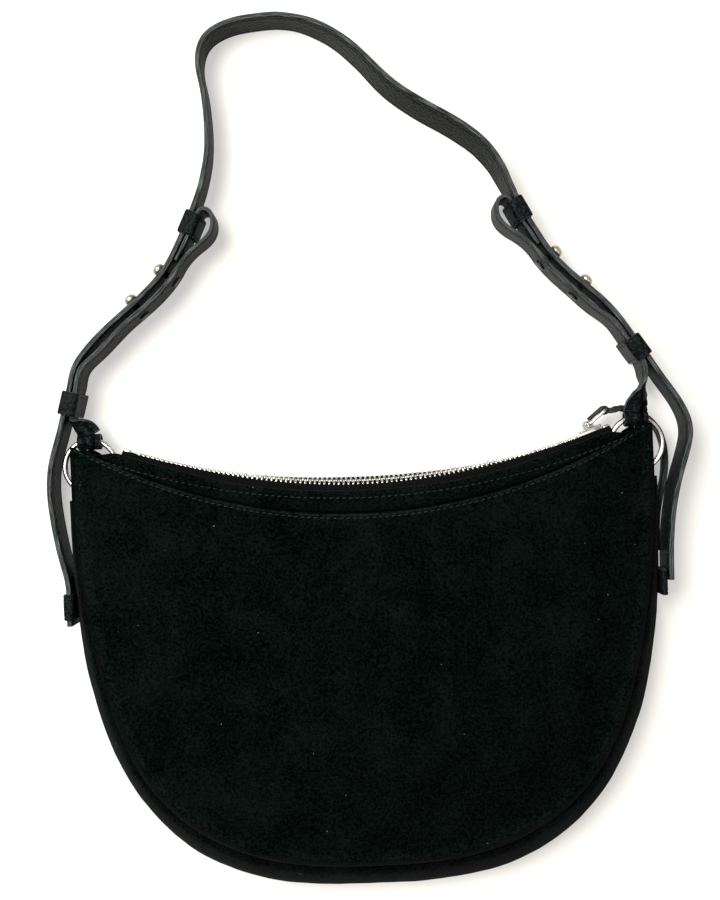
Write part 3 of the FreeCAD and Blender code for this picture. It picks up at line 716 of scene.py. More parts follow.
def stitches(centres: Array, along: Array, out: Array, length: float = 2.3, girth: float = 0.3,
             slant: float = 7.0, finish: int = 0) -> Surface:
    """Grains of thread: ellipsoids on a grid of two angles, one at each centre.

    Args:
        centres: middles of the stitches.
        along: the seam's direction at each.
        out: the surface's outward direction at each.
        length: stitch length in millimetres.
        girth: half the thread's width.
        slant: degrees that each stitch leans from the seam.
        finish: finish index.

    Returns:
        All stitches as one surface.
    """
    polar = np.linspace(0.0, math.pi, 7)[:, None]
    turn = full_turn(6)[None]
    lean = math.radians(slant)
    x = np.cos(polar) * length / 2 + 0.0 * turn
    y = np.sin(polar) ** 0.7 * np.cos(turn) * girth
    z = np.sin(polar) ** 0.7 * np.sin(turn) * girth * 0.9 + 0.25 * girth * np.sin(polar)
    x, y = x * math.cos(lean) - y * math.sin(lean), x * math.sin(lean) + y * math.cos(lean)
    side = unit(np.cross(out, along))
    grid = (centres[:, None, None, :] + along[:, None, None, :] * x[None, :, :, None]
            + side[:, None, None, :] * y[None, :, :, None] + out[:, None, None, :] * z[None, :, :, None])
    return Surface.copies(grid, finish)


def lathe(radii: Array, heights: Array, base: Array, axis: Array, steps: int = 40) -> Surface:
    """A profile of radius against height, turned once round an axis.

    Args:
        radii: radius at each station, zero at both ends to close it.
        heights: height of each station along the axis.
        base: where height zero is.
        axis: the axis, level and of length one.
        steps: stations round the turn.

    Returns:
        The closed surface.
    """
    first = unit(np.cross(UP, axis))
    second = np.cross(axis, first)
    turn = full_turn(steps)
    ring = np.cos(turn)[:, None] * first + np.sin(turn)[:, None] * second
    points = base + heights[:, None, None] * axis + radii[:, None, None] * ring[None]
    return Surface.grid(points, wrap=(False, True))


def tube(path: Array, radius: float, steps: int = 16) -> Surface:
    """A closed round wire: circles of one radius across a plane path.

    Args:
        path: points of the wire's middle, in one plane, the last next to the first.
        radius: the wire's radius.
        steps: points round each circle.

    Returns:
        The surface.
    """
    along = unit(np.roll(path, -1, axis=0) - np.roll(path, 1, axis=0))
    plane = unit(np.cross(path[len(path) // 3] - path[0], path[2 * len(path) // 3] - path[0]))
    across = np.cross(along, plane)
    turn = full_turn(steps)
    points = (path[:, None] + radius * (np.cos(turn)[None, :, None] * across[:, None]
                                        + np.sin(turn)[None, :, None] * plane))
    return Surface.grid(points, wrap=(True, True))


@dataclass
class Track:
    """A band's middle line with its directions, width and thickness at each station."""

    centre: Array
    along: Array
    wide: Array
    across: Array
    width: Array
    thickness: Array
    length: Array

    @classmethod
    def through(cls, stations: Sequence[Station], step: float) -> "Track":
        """A band through stations, with twist, width and thickness eased between them.

        The middle is a natural cubic on chord length. The width starts upright and turns by the twist.

        Args:
            stations: the places it passes.
            step: spacing of the band's rows in millimetres.

        Returns:
            The track.
        """
        table = np.array(stations, dtype=float)
        knots = lengths_along(table[:, :3])
        at = np.linspace(0.0, knots[-1], max(8, int(knots[-1] / step)))
        centre = natural_cubic(knots, table[:, :3], at)
        k = np.clip(np.searchsorted(knots, at, side="right") - 1, 0, len(knots) - 2)
        share = smooth((at - knots[k]) / (knots[k + 1] - knots[k]))[:, None]
        twist, width, thickness = (table[k, 3:] + (table[k + 1, 3:] - table[k, 3:]) * share).T
        along = unit(np.gradient(centre, at, axis=0))
        upright = unit(UP - along * along[:, 2:])
        flat = np.cross(along, upright)
        turn = np.radians(twist)[:, None]
        wide = upright * np.cos(turn) + flat * np.sin(turn)
        return cls(centre, along, wide, np.cross(along, wide), width, thickness, lengths_along(centre))

    def part(self, start: float, end: float) -> "Track":
        """The stretch between two lengths."""
        keep = (self.length >= start) & (self.length <= end)
        return Track(*(value[keep] for value in vars(self).values()))

    def waved(self, seed: int, rise: float, sway: float, wave: float) -> "Track":
        """The same band, its middle gently uneven.

        Args:
            seed: picks the waves.
            rise: height of the waves along the width.
            sway: height of the waves through the thickness.
            wave: length of the slowest wave.

        Returns:
            The new track.
        """
        calm = 15.0  # length over which the waves die out at both ends
        fade = np.minimum(1.0, np.minimum(self.length, self.length[-1] - self.length) / calm)[:, None]
        centre = (self.centre + self.wide * wander(self.length, seed, wave)[:, None] * rise * fade
                  + self.across * wander(self.length, seed + 1, wave)[:, None] * sway * fade)
        return Track(centre, self.along, self.wide, self.across, self.width, self.thickness, self.length)

    def band(self, groove: float = 2.4, layers: bool = True, ends: tuple[bool, bool] = (True, True),
             closed: bool = False) -> Surface:
        """A strap's skin: a rounded rectangle with stitch grooves, carried along the track.

        The section is given as signs times half the width or thickness plus offsets in millimetres, so that
        its rounding, grooves and layer line keep their size where the band narrows.

        Args:
            groove: distance of the stitch grooves from the edges, or zero for none.
            layers: whether the edges show the line between two layers.
            ends: whether each end is closed.
            closed: whether the track joins its start.

        Returns:
            The surface.
        """
        deep = 0.2 if groove else 0.0
        g = groove or 2.4
        rim = [(1, -0.55, 0.0), (1, -1.2, 0.0), (1, 0.45 - g, 0.0), (1, -g, -deep), (1, -0.45 - g, 0.0),
               (0.55, 0, 0.04), (0, 0, 0.06), (-0.55, 0, 0.04),
               (-1, 0.45 + g, 0.0), (-1, g, -deep), (-1, g - 0.45, 0.0), (-1, 1.2, 0.0), (-1, 0.55, 0.0)]
        line = 0.16 if layers else 0.0
        side = [(0.16, 1, -0.16), (0.0, 1, -0.5), (0.0, 0, 0.2), (line, 0, 0.0), (0.0, 0, -0.2),
                (0.0, -1, 0.5), (0.16, -1, 0.16)]
        rows = [(s, o, 1, t, StrapFinish.FACE) for s, o, t in rim]
        rows += [(-1, o, s, t, StrapFinish.EDGE) for o, s, t in side]
        rows += [(-s, -o, -1, -t, StrapFinish.FACE) for s, o, t in rim]
        rows += [(1, -o, -s, -t, StrapFinish.EDGE) for o, s, t in side]
        sw, ow, st, ot, kind = np.array(rows, dtype=float).T
        w = self.width[:, None] / 2 * sw + ow
        t = self.thickness[:, None] / 2 * st + ot
        skin = self.centre[:, None] + self.wide[:, None] * w[..., None] + self.across[:, None] * t[..., None]
        finish = np.minimum(kind, np.roll(kind, -1))
        pieces = [skin]
        marks = [np.broadcast_to(finish, (len(skin) - 1, len(kind)))]
        for which, at, sign in ((0, 0, -1.0), (1, -1, 1.0)):
            if ends[which] and not closed:
                shrink, swell = np.array(((0.93, 0.6, 0.0), (0.22, 0.32, 0.34)))[..., None, None]
                cap = self.centre[at] + (skin[at] - self.centre[at])[None] * shrink
                cap = cap + self.along[at] * sign * swell
                mark = np.full((len(cap), len(kind)), int(StrapFinish.EDGE))
                pieces = [cap[::-1]] + pieces if which == 0 else pieces + [cap]
                marks = [mark] + marks if which == 0 else marks + [mark]
        if closed:
            marks.append(marks[0][:1])
        return Surface.grid(np.concatenate(pieces), wrap=(closed, True), finish=np.concatenate(marks))

    def seam(self, inset: float, pitch: float = 3.2, margin: float = 4.0,
             faces: Sequence[int] = (1, -1)) -> Surface:
        """Rows of stitches along the band's faces, near both edges.

        Args:
            inset: distance from the edge.
            pitch: spacing of the stitches.
            margin: bare length at each end.
            faces: which faces are sewn, as signs across.

        Returns:
            The stitches.
        """
        at = np.arange(margin, self.length[-1] - self.length[0] - margin, pitch) + self.length[0]
        pick = [np.stack([np.interp(at, self.length, v[:, k]) for k in range(3)], axis=1)
                for v in (self.centre, self.along, self.wide, self.across)]
        width = np.interp(at, self.length, self.width)[:, None]
        thickness = np.interp(at, self.length, self.thickness)[:, None]
        centre, along, wide, across = pick[0], unit(pick[1]), unit(pick[2]), unit(pick[3])
        sunk = 0.16  # how deep a stitch lies in its groove
        return joined([stitches(centre + wide * (width / 2 - inset) * e + across * (thickness / 2 - sunk) * f,
                                along, across * f, finish=StrapFinish.THREAD) for e in (1, -1) for f in faces])


def ring_loop(x0: float, x1: float, y0: float, y1: float, corner: float, count: int = 120) -> Array:
    """A closed rectangle with round corners, at even steps.

    Args:
        x0: low side across.
        x1: high side across.
        y0: low side up.
        y1: high side up.
        corner: radius of the corners.
        count: number of points.

    Returns:
        Points of across and up.
    """
    turn = np.linspace(0.0, math.pi / 2, 9)
    centres = ((x1 - corner, y1 - corner), (x0 + corner, y1 - corner),
               (x0 + corner, y0 + corner), (x1 - corner, y0 + corner))
    arcs = [np.stack((cx + corner * np.cos(turn + k * math.pi / 2),
                      cy + corner * np.sin(turn + k * math.pi / 2)), axis=1)
            for k, (cx, cy) in enumerate(centres)]
    path = np.concatenate(arcs + [arcs[0][:1]])
    return resample(path, count + 1)[:-1]


def loop_track(path: Array, axis: Array, width: float, thickness: float) -> Track:
    """A closed band whose width lies along one axis, round a plane path.

    Args:
        path: closed points of the band's middle.
        axis: direction of its width.
        width: the band's width.
        thickness: the band's thickness.

    Returns:
        The track.
    """
    along = unit(np.roll(path, -1, axis=0) - np.roll(path, 1, axis=0))
    wide = np.broadcast_to(axis, along.shape)
    return Track(path, along, wide, np.cross(along, wide), np.full(len(path), width),
                 np.full(len(path), thickness), lengths_along(path))


@dataclass
class SuedeBody:
    """The suede half moon: front and back panels, their facings along the mouth, gusset and lining."""

    looks: Finishes
    corner_level: float = 95.0    # where the straight sides pass into the curve
    half_width: float = 149.0     # at the widest height
    depth: float = 207.0          # from the corner level to the foot
    roundness: float = 2.85       # superellipse power of the wall at its widest, and of the seams
    seam_roundness: float = 2.7
    widest: float = 13.0          # height where the wall is widest
    gusset_height: float = 27.0
    gusset_end: float = 88.5      # level where the gusset's ends stop
    mouth_height: float = 21.4    # height of the front at the mouth
    crown: float = 8.0            # how far the front swells above its seams
    suede: float = 1.6            # from the underside of the front to its outer face
    sheet_thickness: float = 1.3  # as the front and gusset show it, then the back and the lining
    back_thickness: float = 1.4
    cotton_thickness: float = 0.5
    side_inset: float = 2.2       # how far the seams lie inside the widest outline
    foot_inset: float = 12.0
    back_inset: float = 6.0
    overhang: float = 0.6         # how far a panel reaches past its seam
    floor_gap: float = 0.02
    lip_middle: float = 0.8       # reach of the facing over the tape at mid mouth, and near the zip's ends
    lip_ends: float = 3.4
    corner_dip: float = 1.8       # how far the mouth's soft corners dip
    draw: float = 3.8             # how far the soft sides of the front seam are drawn in
    rim_roll: float = 2.2         # how deep the front rolls into the outer seam, and over what width
    rim_width: float = 4.0
    pucker: float = 0.22          # height and length of the puckers along that seam
    pucker_wave: float = 26.0
    seam_pull: float = 0.95       # how deep the facing's seam pulls the suede down
    zip_centre: float = 456.0     # level of the zip's axis
    mouth_radius: float = 369.0
    facing_centre: float = 356.5
    facing_radius: float = 280.0
    facing_reach: float = 142.2   # half length of the facings
    facing_stitch: float = 2.6    # how far the stitches lie below the facing's seam and below the mouth
    mouth_stitch: float = 3.0
    stitch_pitch: float = 3.2
    furrow: float = 0.7           # width of the furrow that the stitches press
    tacks: Sequence[Pair] = ((-143.0, 108.5), (-142.4, 101.0), (142.6, 108.0))
    columns: int = 330
    rows: int = 120

    def height(self, x: Array, y: Array) -> Array:
        """Underside of the front: low at the mouth, level at the seam and swollen between, as in the CAD.

        It eases from the mouth's height to the gusset's over three quarters of the depth. The crown is added,
        times one minus the outline's superellipse sum, and comes in as a parabola over four tenths of it.

        Args:
            x: across.
            y: up.

        Returns:
            Height above the floor.
        """
        d = np.maximum(0.0, np.hypot(x, y - self.zip_centre) - self.mouth_radius)
        seam = self.mouth_height + (self.gusset_height - self.mouth_height) * smooth(d / (self.depth * 0.75))
        across = np.abs(x) / (self.half_width - self.side_inset)
        down = np.maximum(0.0, self.corner_level - y) / (self.depth - self.foot_inset)
        edge = across ** self.seam_roundness + down ** self.seam_roundness
        swell = 1.0 - (1.0 - np.minimum(1.0, d / (self.depth * 0.4))) ** 2
        return seam + self.crown * np.maximum(-0.6, 1.0 - edge) * swell

    def mouth(self, x: Array) -> Array:
        """Level of the mouth's edge: a circle about the zip's axis, dipping a little at the soft corners."""
        return (self.zip_centre - np.sqrt(self.mouth_radius ** 2 - x ** 2)
                - self.corner_dip * smooth((np.abs(x) - 128.0) / 12.0))

    def lip(self, x: Array) -> Array:
        """Reach of the facing's soft edge over the tape: most near the ends of the zip, none at the corners."""
        rise, fall = smooth((np.abs(x) - 45.0) / 75.0), smooth((np.abs(x) - 122.0) / 12.0)
        return self.lip_middle + (self.lip_ends - self.lip_middle) * rise - self.lip_ends * fall

    def facing_seam(self, x: Array) -> Array:
        """Level of the seam below the facing: a tighter circle."""
        return self.facing_centre - np.sqrt(self.facing_radius ** 2 - x ** 2)

    def outline(self, half: float, depth: float, power: float, top: float, draw: float = 0.0) -> Array:
        """Half superellipse |x/a|^p + |y/b|^p = 1 below the corner level, straight sides above it.

        Args:
            half: half width.
            depth: from the corner level to the bottom.
            power: superellipse power.
            top: level where the sides end.
            draw: how far the sides are drawn in at most, easing to nothing at the corner level and at the foot.

        Returns:
            Points from the left end round the bottom to the right end.
        """
        t = np.linspace(0.0, math.pi, 1600)
        c, s = np.cos(t), np.abs(np.sin(t))
        x = -half * np.sign(c) * np.abs(c) ** (2.0 / power)
        y = self.corner_level - depth * s ** (2.0 / power)
        drawn = smooth((self.corner_level - y) / 95.0) * (1.0 - smooth((-5.0 - y) / 75.0))
        x = x * (1.0 - draw / half * drawn)
        path = np.stack((x, y), axis=1)
        if top > self.corner_level:
            ends = np.array(((-half, top), (half, top)))
            return np.concatenate((ends[:1], path, ends[1:]))
        return path[path[:, 1] <= top]

    def panel_grid(self, half: float, depth: float, rows: int,
                   draw: float = 0.0) -> tuple[Array, Array, Array, Array]:
        """Straight lines from the top edge to the outline, closer together near both edges.

        Args:
            half: half width of the panel.
            depth: its depth below the corner level.
            rows: how many rows from the top edge to the outline.
            draw: how far its sides are drawn in.

        Returns:
            x, y, and the distances from the top seam and from the outer seam.
        """
        x = np.linspace(-half, half, 1200)
        top = resample(np.stack((x, np.minimum(self.mouth(x), self.facing_seam(x))), axis=1), self.columns)
        rim = resample(self.outline(half, depth, self.seam_roundness, float(self.mouth(np.array(half))), draw),
                       self.columns)
        v = np.linspace(0.0, 1.0, rows)
        s = (v - 0.9 * np.sin(2.0 * math.pi * v) / (2.0 * math.pi))[:, None]
        gap = rim - top
        span = np.linalg.norm(gap, axis=1)
        way = gap / np.maximum(span, 1e-6)[:, None]
        square = [np.abs(way[:, 0] * t[:, 1] - way[:, 1] * t[:, 0])
                  for t in (unit(np.gradient(top, axis=0)), unit(np.gradient(rim, axis=0)))]
        points = top[None] + gap[None] * s[..., None]
        return points[..., 0], points[..., 1], s * span * square[0], (1.0 - s) * span * square[1]

    def roll(self, distance: Array, radius: float, drop: float) -> Array:
        """A quarter round at an edge: how far the surface has dropped at a distance from it."""
        share = np.clip(1.0 - distance / radius, 0.0, 1.0)
        return drop * (1.0 - np.sqrt(np.maximum(0.0, 1.0 - share ** 2)))

    def relief(self, x: Array, y: Array) -> Array:
        """Soft dents and a low crease in the front panel, as bell curves and slow waves.

        Args:
            x: across.
            y: up.

        Returns:
            Height added.
        """
        # middle across and up, width across and up, and height of each
        dents = ((-102.0, -52.0, 24.0, 17.0, -1.3), (12.0, -47.0, 30.0, 7.0, 0.7),
                 (60.0, 18.0, 34.0, 22.0, -0.7), (-44.0, 22.0, 30.0, 20.0, -0.6),
                 (96.0, -40.0, 22.0, 18.0, -0.8))
        total = 0.3 * np.sin(x / 23.0 + y / 31.0) * np.sin(y / 19.0 - x / 47.0)
        for cx, cy, wide, high, tall in dents:
            total = total + tall * np.exp(-((x - cx) / wide) ** 2 - ((y - cy) / high) ** 2)
        return total

    def sheet(self, node: str, points: Array, cloth: Cloth, thickness: float, flip: bool = True,
              crease: Array | None = None) -> None:
        """Makes a sheet of the body from the grid of its outer face.

        Args:
            node: the CAD node it stands for.
            points: rows by columns by three.
            cloth: what it is made of.
            thickness: in millimetres, below its outer face.
            flip: turn the faces over.
            crease: as for to_object.
        """
        look = self.looks.suede if cloth is Cloth.SUEDE else self.looks.lining
        piece = Surface.grid(points, flip=flip).to_object(f"{node}_{cloth.value}", [look], False, crease)
        solidify(piece, thickness)
        place(piece, Body.BAG, cloth.slot, node)

    def front(self) -> None:
        """Front panel: the swollen sheet, rolled into the outer seam and pulled down at the facing seam."""
        x, y, near_top, near_rim = self.panel_grid(self.half_width - self.side_inset + self.overhang,
                                                   self.depth - self.foot_inset + self.overhang, self.rows,
                                                   self.draw)
        z = (self.height(x, y) + self.suede
             + self.relief(x, y) * smooth(near_rim / 18.0) * smooth(near_top / 14.0))
        z = z - self.rim_roll * np.clip(1.0 - near_rim / self.rim_width, 0.0, 1.0) ** 2
        along = np.cumsum(np.hypot(*np.gradient(np.stack((x[-1], y[-1])), axis=1)))[None, :]
        puckers = wander(along + 0.0 * x, 5, self.pucker_wave)
        z = z + self.pucker * puckers * np.exp(-near_rim / 5.0) * smooth(near_rim / 1.5)
        z = z - self.seam_pull * bell(near_top, 1.1)
        z = z + 0.25 * bell(near_top - 5.0, 2.2)  # the suede rises again past the seam
        z = z - 0.30 * bell(near_top - self.facing_stitch, self.furrow)
        # painted shade in both seams, and painted highlight on the rolled edges beside them
        dark = 0.85 * bell(near_rim, 1.3) - 0.45 * bell(near_rim - 4.5, 2.4)
        dark = dark + 0.8 * bell(near_top, 0.5) - 2.2 * bell(near_top - 1.2, 0.5)
        self.sheet("front_panel", np.stack((x, y, z), axis=2), Cloth.SUEDE, self.sheet_thickness, False, dark)

    def crescent(self, rows: int, lipped: bool) -> tuple[Array, Array, Array, Array]:
        """The facing's grid, between its seam and the mouth's edge.

        Args:
            rows: how many rows across it.
            lipped: whether its edge reaches over the tape.

        Returns:
            x, y, and the distances from the seam and from the mouth.
        """
        x = np.linspace(-self.facing_reach, self.facing_reach, self.columns)[None, :]
        low, high = self.facing_seam(x) + 0.2, self.mouth(x) + (self.lip(x) if lipped else 0.0)
        v = np.linspace(0.0, 1.0, rows)[:, None]
        s = v - 0.8 * np.sin(2.0 * math.pi * v) / (2.0 * math.pi)
        y = low + (high - low) * s
        return x + 0.0 * y, y, y - low, high - y

    def front_facing(self) -> None:
        """Front facing: a narrow crescent, rounded over at the mouth and pulled down at its seam."""
        x, y, seam, mouth = self.crescent(46, True)
        z = self.height(x, y) + self.suede + 0.35 * smooth(seam / 3.0) * smooth(mouth / 3.0)
        z = z - self.seam_pull * bell(seam, 1.0) - self.roll(mouth, 1.5, 1.5)
        z = z - 0.35 * bell(mouth - self.mouth_stitch, self.furrow)
        # painted shade in the seam, and painted highlight beside the rolled edge along the mouth
        dark = 0.8 * bell(seam, 0.9) - 0.3 * bell(mouth - 1.6, 1.2)
        self.sheet("front_facing", np.stack((x, y, z), axis=2), Cloth.SUEDE, self.sheet_thickness, crease=dark)

    def back(self) -> None:
        """Back panel and its facing: flat on the floor, rolled up at their edges and lifted at their seam."""
        x, y, near_top, near_rim = self.panel_grid(self.half_width - self.back_inset + self.overhang,
                                                   self.depth - self.back_inset + self.overhang, 60)
        z = self.roll(near_rim, 3.2, 2.2) + 0.5 * bell(near_top, 1.1) + self.floor_gap
        self.sheet("back_panel", np.stack((x, y, z), axis=2), Cloth.SUEDE, self.back_thickness)
        x, y, seam, mouth = self.crescent(24, False)
        z = self.floor_gap + 0.5 * bell(seam, 1.0) + self.roll(mouth, 1.5, 1.3)
        self.sheet("back_facing", np.stack((x, y, z), axis=2), Cloth.SUEDE, self.back_thickness, False)

    def wall(self, inset: float, bottom: float, under: float, columns: int, rows: int) -> tuple[Array, Array]:
        """The side of the body: outlines stacked in height, widest near the middle of the wall.

        The inset of each outline grows with the square of its distance from the widest height.

        Args:
            inset: how far inside the outer skin.
            bottom: height of the lower edge.
            under: how far the upper edge stays below the front panel.
            columns: points round the wall.
            rows: points up the wall.

        Returns:
            Points of the wall, and the share of its height at each row.
        """
        share = np.linspace(0.0, 1.0, rows)
        rings = []
        for v in share:
            z = bottom + v * (self.gusset_height - bottom)
            low = max(0.0, (self.widest - z) / self.widest)
            high = max(0.0, (z - self.widest) / (self.gusset_height - self.widest))
            side = self.back_inset * low ** 2 + self.side_inset * high ** 1.6
            foot = self.back_inset * low ** 2 + self.foot_inset * high ** 1.7
            power = self.roundness + (self.seam_roundness - self.roundness) * max(low, high) ** 1.5
            rings.append(resample(self.outline(self.half_width - side - inset, self.depth - foot - inset, power,
                                               self.gusset_end, self.draw * high ** 1.6), columns))
        plan = np.stack(rings)
        top = self.height(plan[-1, :, 0], plan[-1, :, 1]) - under
        z = bottom + share[:, None] * (top - bottom)[None]
        return np.concatenate((plan, z[..., None]), axis=2), share

    def gusset(self) -> None:
        """Gusset: the wall, tucked in at both seams, with slow ripples where it is eased round the curve."""
        rows = 44
        points, share = self.wall(0.0, 1.9, 0.1, 420, rows)
        inward = unit(np.array((0.0, 10.0)) - points[..., :2])
        v = share[:, None]
        tuck = 1.9 * bell(1.0 - v, 0.055) + 1.4 * bell(v, 0.06)
        along = np.cumsum(np.linalg.norm(np.gradient(points[rows // 2, :, :2], axis=0), axis=1))[None]
        ripple = 0.22 * wander(along + 9.0 * v, 11, 60.0) * np.sin(math.pi * v)
        points[..., :2] += inward * (tuck + ripple)[..., None]
        points[..., 2] -= 1.7 * bell(1.0 - v, 0.07)
        # painted shade in both seams, and painted highlight across the shoulder of the wall
        dark = 0.85 * bell(1.0 - v, 0.08) + 0.5 * bell(v, 0.08)
        dark = dark - 0.7 * bell(v - 0.72, 0.2) + 0.0 * points[..., 0]
        self.sheet("gusset", points, Cloth.SUEDE, self.sheet_thickness, False, dark)

    def lining(self) -> None:
        """Cotton lining inside the shell, and a flat slip pocket on the back."""
        x, y, near_top, near_rim = self.panel_grid(self.half_width - self.side_inset - 1.4,
                                                   self.depth - self.foot_inset - 3.0, 40, self.draw)
        y = y - 8.0 * np.exp(-near_top / 30.0) * smooth(near_rim / 20.0)
        for node, z, flip in (("lining_front", self.height(x, y) - 0.9, True),
                              ("lining_back", 1.95 + 0.0 * x, False)):
            self.sheet(node, np.stack((x, y, z), axis=2), Cloth.COTTON, self.cotton_thickness, flip)
        points, _ = self.wall(3.6, 2.8, 4.6, 200, 16)
        self.sheet("lining_gusset", points, Cloth.COTTON, self.cotton_thickness)
        half, high, corner, foot = 65.0, 92.0, 12.0, -37.0  # of the pocket
        u = np.linspace(-1.0, 1.0, 60)[None, :]
        v = np.linspace(0.0, 1.0, 50)[:, None]
        below = 1.0 - np.clip(v * high / corner, 0.0, 1.0)
        reach = half - corner * (1.0 - np.sqrt(np.clip(1.0 - below ** 2, 0, 1)))
        z = 3.0 + 0.15 * np.sin(u * 9.0) * np.sin(v * 7.0)
        self.sheet("inner_pocket", np.stack((u * reach, foot + high * v + 0.0 * u, z + 0.0 * u), axis=2),
                   Cloth.COTTON, self.cotton_thickness)

    def seams(self) -> None:
        """Top stitching: below the facing seam, along the mouth, and bar tacks at the corners."""
        runs: list[Surface] = []
        for curve, inset, reach, lift in ((self.facing_seam, self.facing_stitch, 136.0, 0.0),
                                          (self.mouth, self.mouth_stitch, 131.0, 0.2)):
            x = np.linspace(-reach, reach, 1200)
            path = np.stack((x, curve(x) - inset), axis=1)
            spots = resample(path, int(lengths_along(path)[-1] / self.stitch_pitch))
            z = self.height(spots[:, 0], spots[:, 1]) + self.suede - 0.12 + lift
            along = unit(np.concatenate((np.gradient(spots, axis=0), np.gradient(z)[:, None]), axis=1))
            out = unit(np.cross(along, np.cross(UP, along)))
            runs.append(stitches(np.concatenate((spots, z[:, None]), axis=1), along, out, 2.4, 0.32))
        count, gap, lean = 5, 1.5, 0.6  # of a bar tack's stitches
        along, out = np.tile(unit(np.array((1.0, 0.28, 0.0))), (count, 1)), np.tile(UP, (count, 1))
        for x0, y0 in self.tacks:
            spots = np.stack((x0 + np.linspace(0.0, lean, count), y0 - np.arange(count) * gap), axis=1)
            z = self.height(spots[:, 0], spots[:, 1]) + self.suede - 0.45
            runs.append(stitches(np.concatenate((spots, z[:, None]), axis=1), along, out, 4.2, 0.4, 0.0))
        place(joined(runs).to_object("mouth_stitching", [self.looks.thread]), Body.BAG, "suede")

    def build(self) -> None:
        """Makes every suede and lining piece."""
        self.front()
        self.front_facing()
        self.back()
        self.gusset()
        self.lining()
        self.seams()


def pebble_box(centre: Array, axes: tuple[Array, Array, Array], half: Point,
               power: float = 0.3, rows: int = 7, columns: int = 12) -> Surface:
    """Rounded blocks: superellipsoids, signed powers of the cosines and sines of two angles.

    Args:
        centre: middle of each block, one row each.
        axes: three arrays of unit axes, one row for each block.
        half: half sizes along the three axes.
        power: near zero for a box, one for an ellipsoid.
        rows: points from pole to pole.
        columns: points round.

    Returns:
        All blocks as one surface.
    """
    polar = np.linspace(-math.pi / 2, math.pi / 2, rows)[:, None]
    turn = full_turn(columns)[None] + math.pi / columns

    def bent(value: Array) -> Array:
        """Signed power of a sine or cosine."""
        return np.sign(value) * np.abs(value) ** power

    x = bent(np.cos(polar)) * bent(np.cos(turn)) * half[0]
    y = bent(np.cos(polar)) * bent(np.sin(turn)) * half[1]
    z = bent(np.sin(polar)) * half[2] + 0.0 * turn
    grid = centre[:, None, None, :] + sum(axis[:, None, None, :] * part[None, :, :, None]
                                          for axis, part in zip(axes, (x, y, z)))
    return Surface.copies(grid)


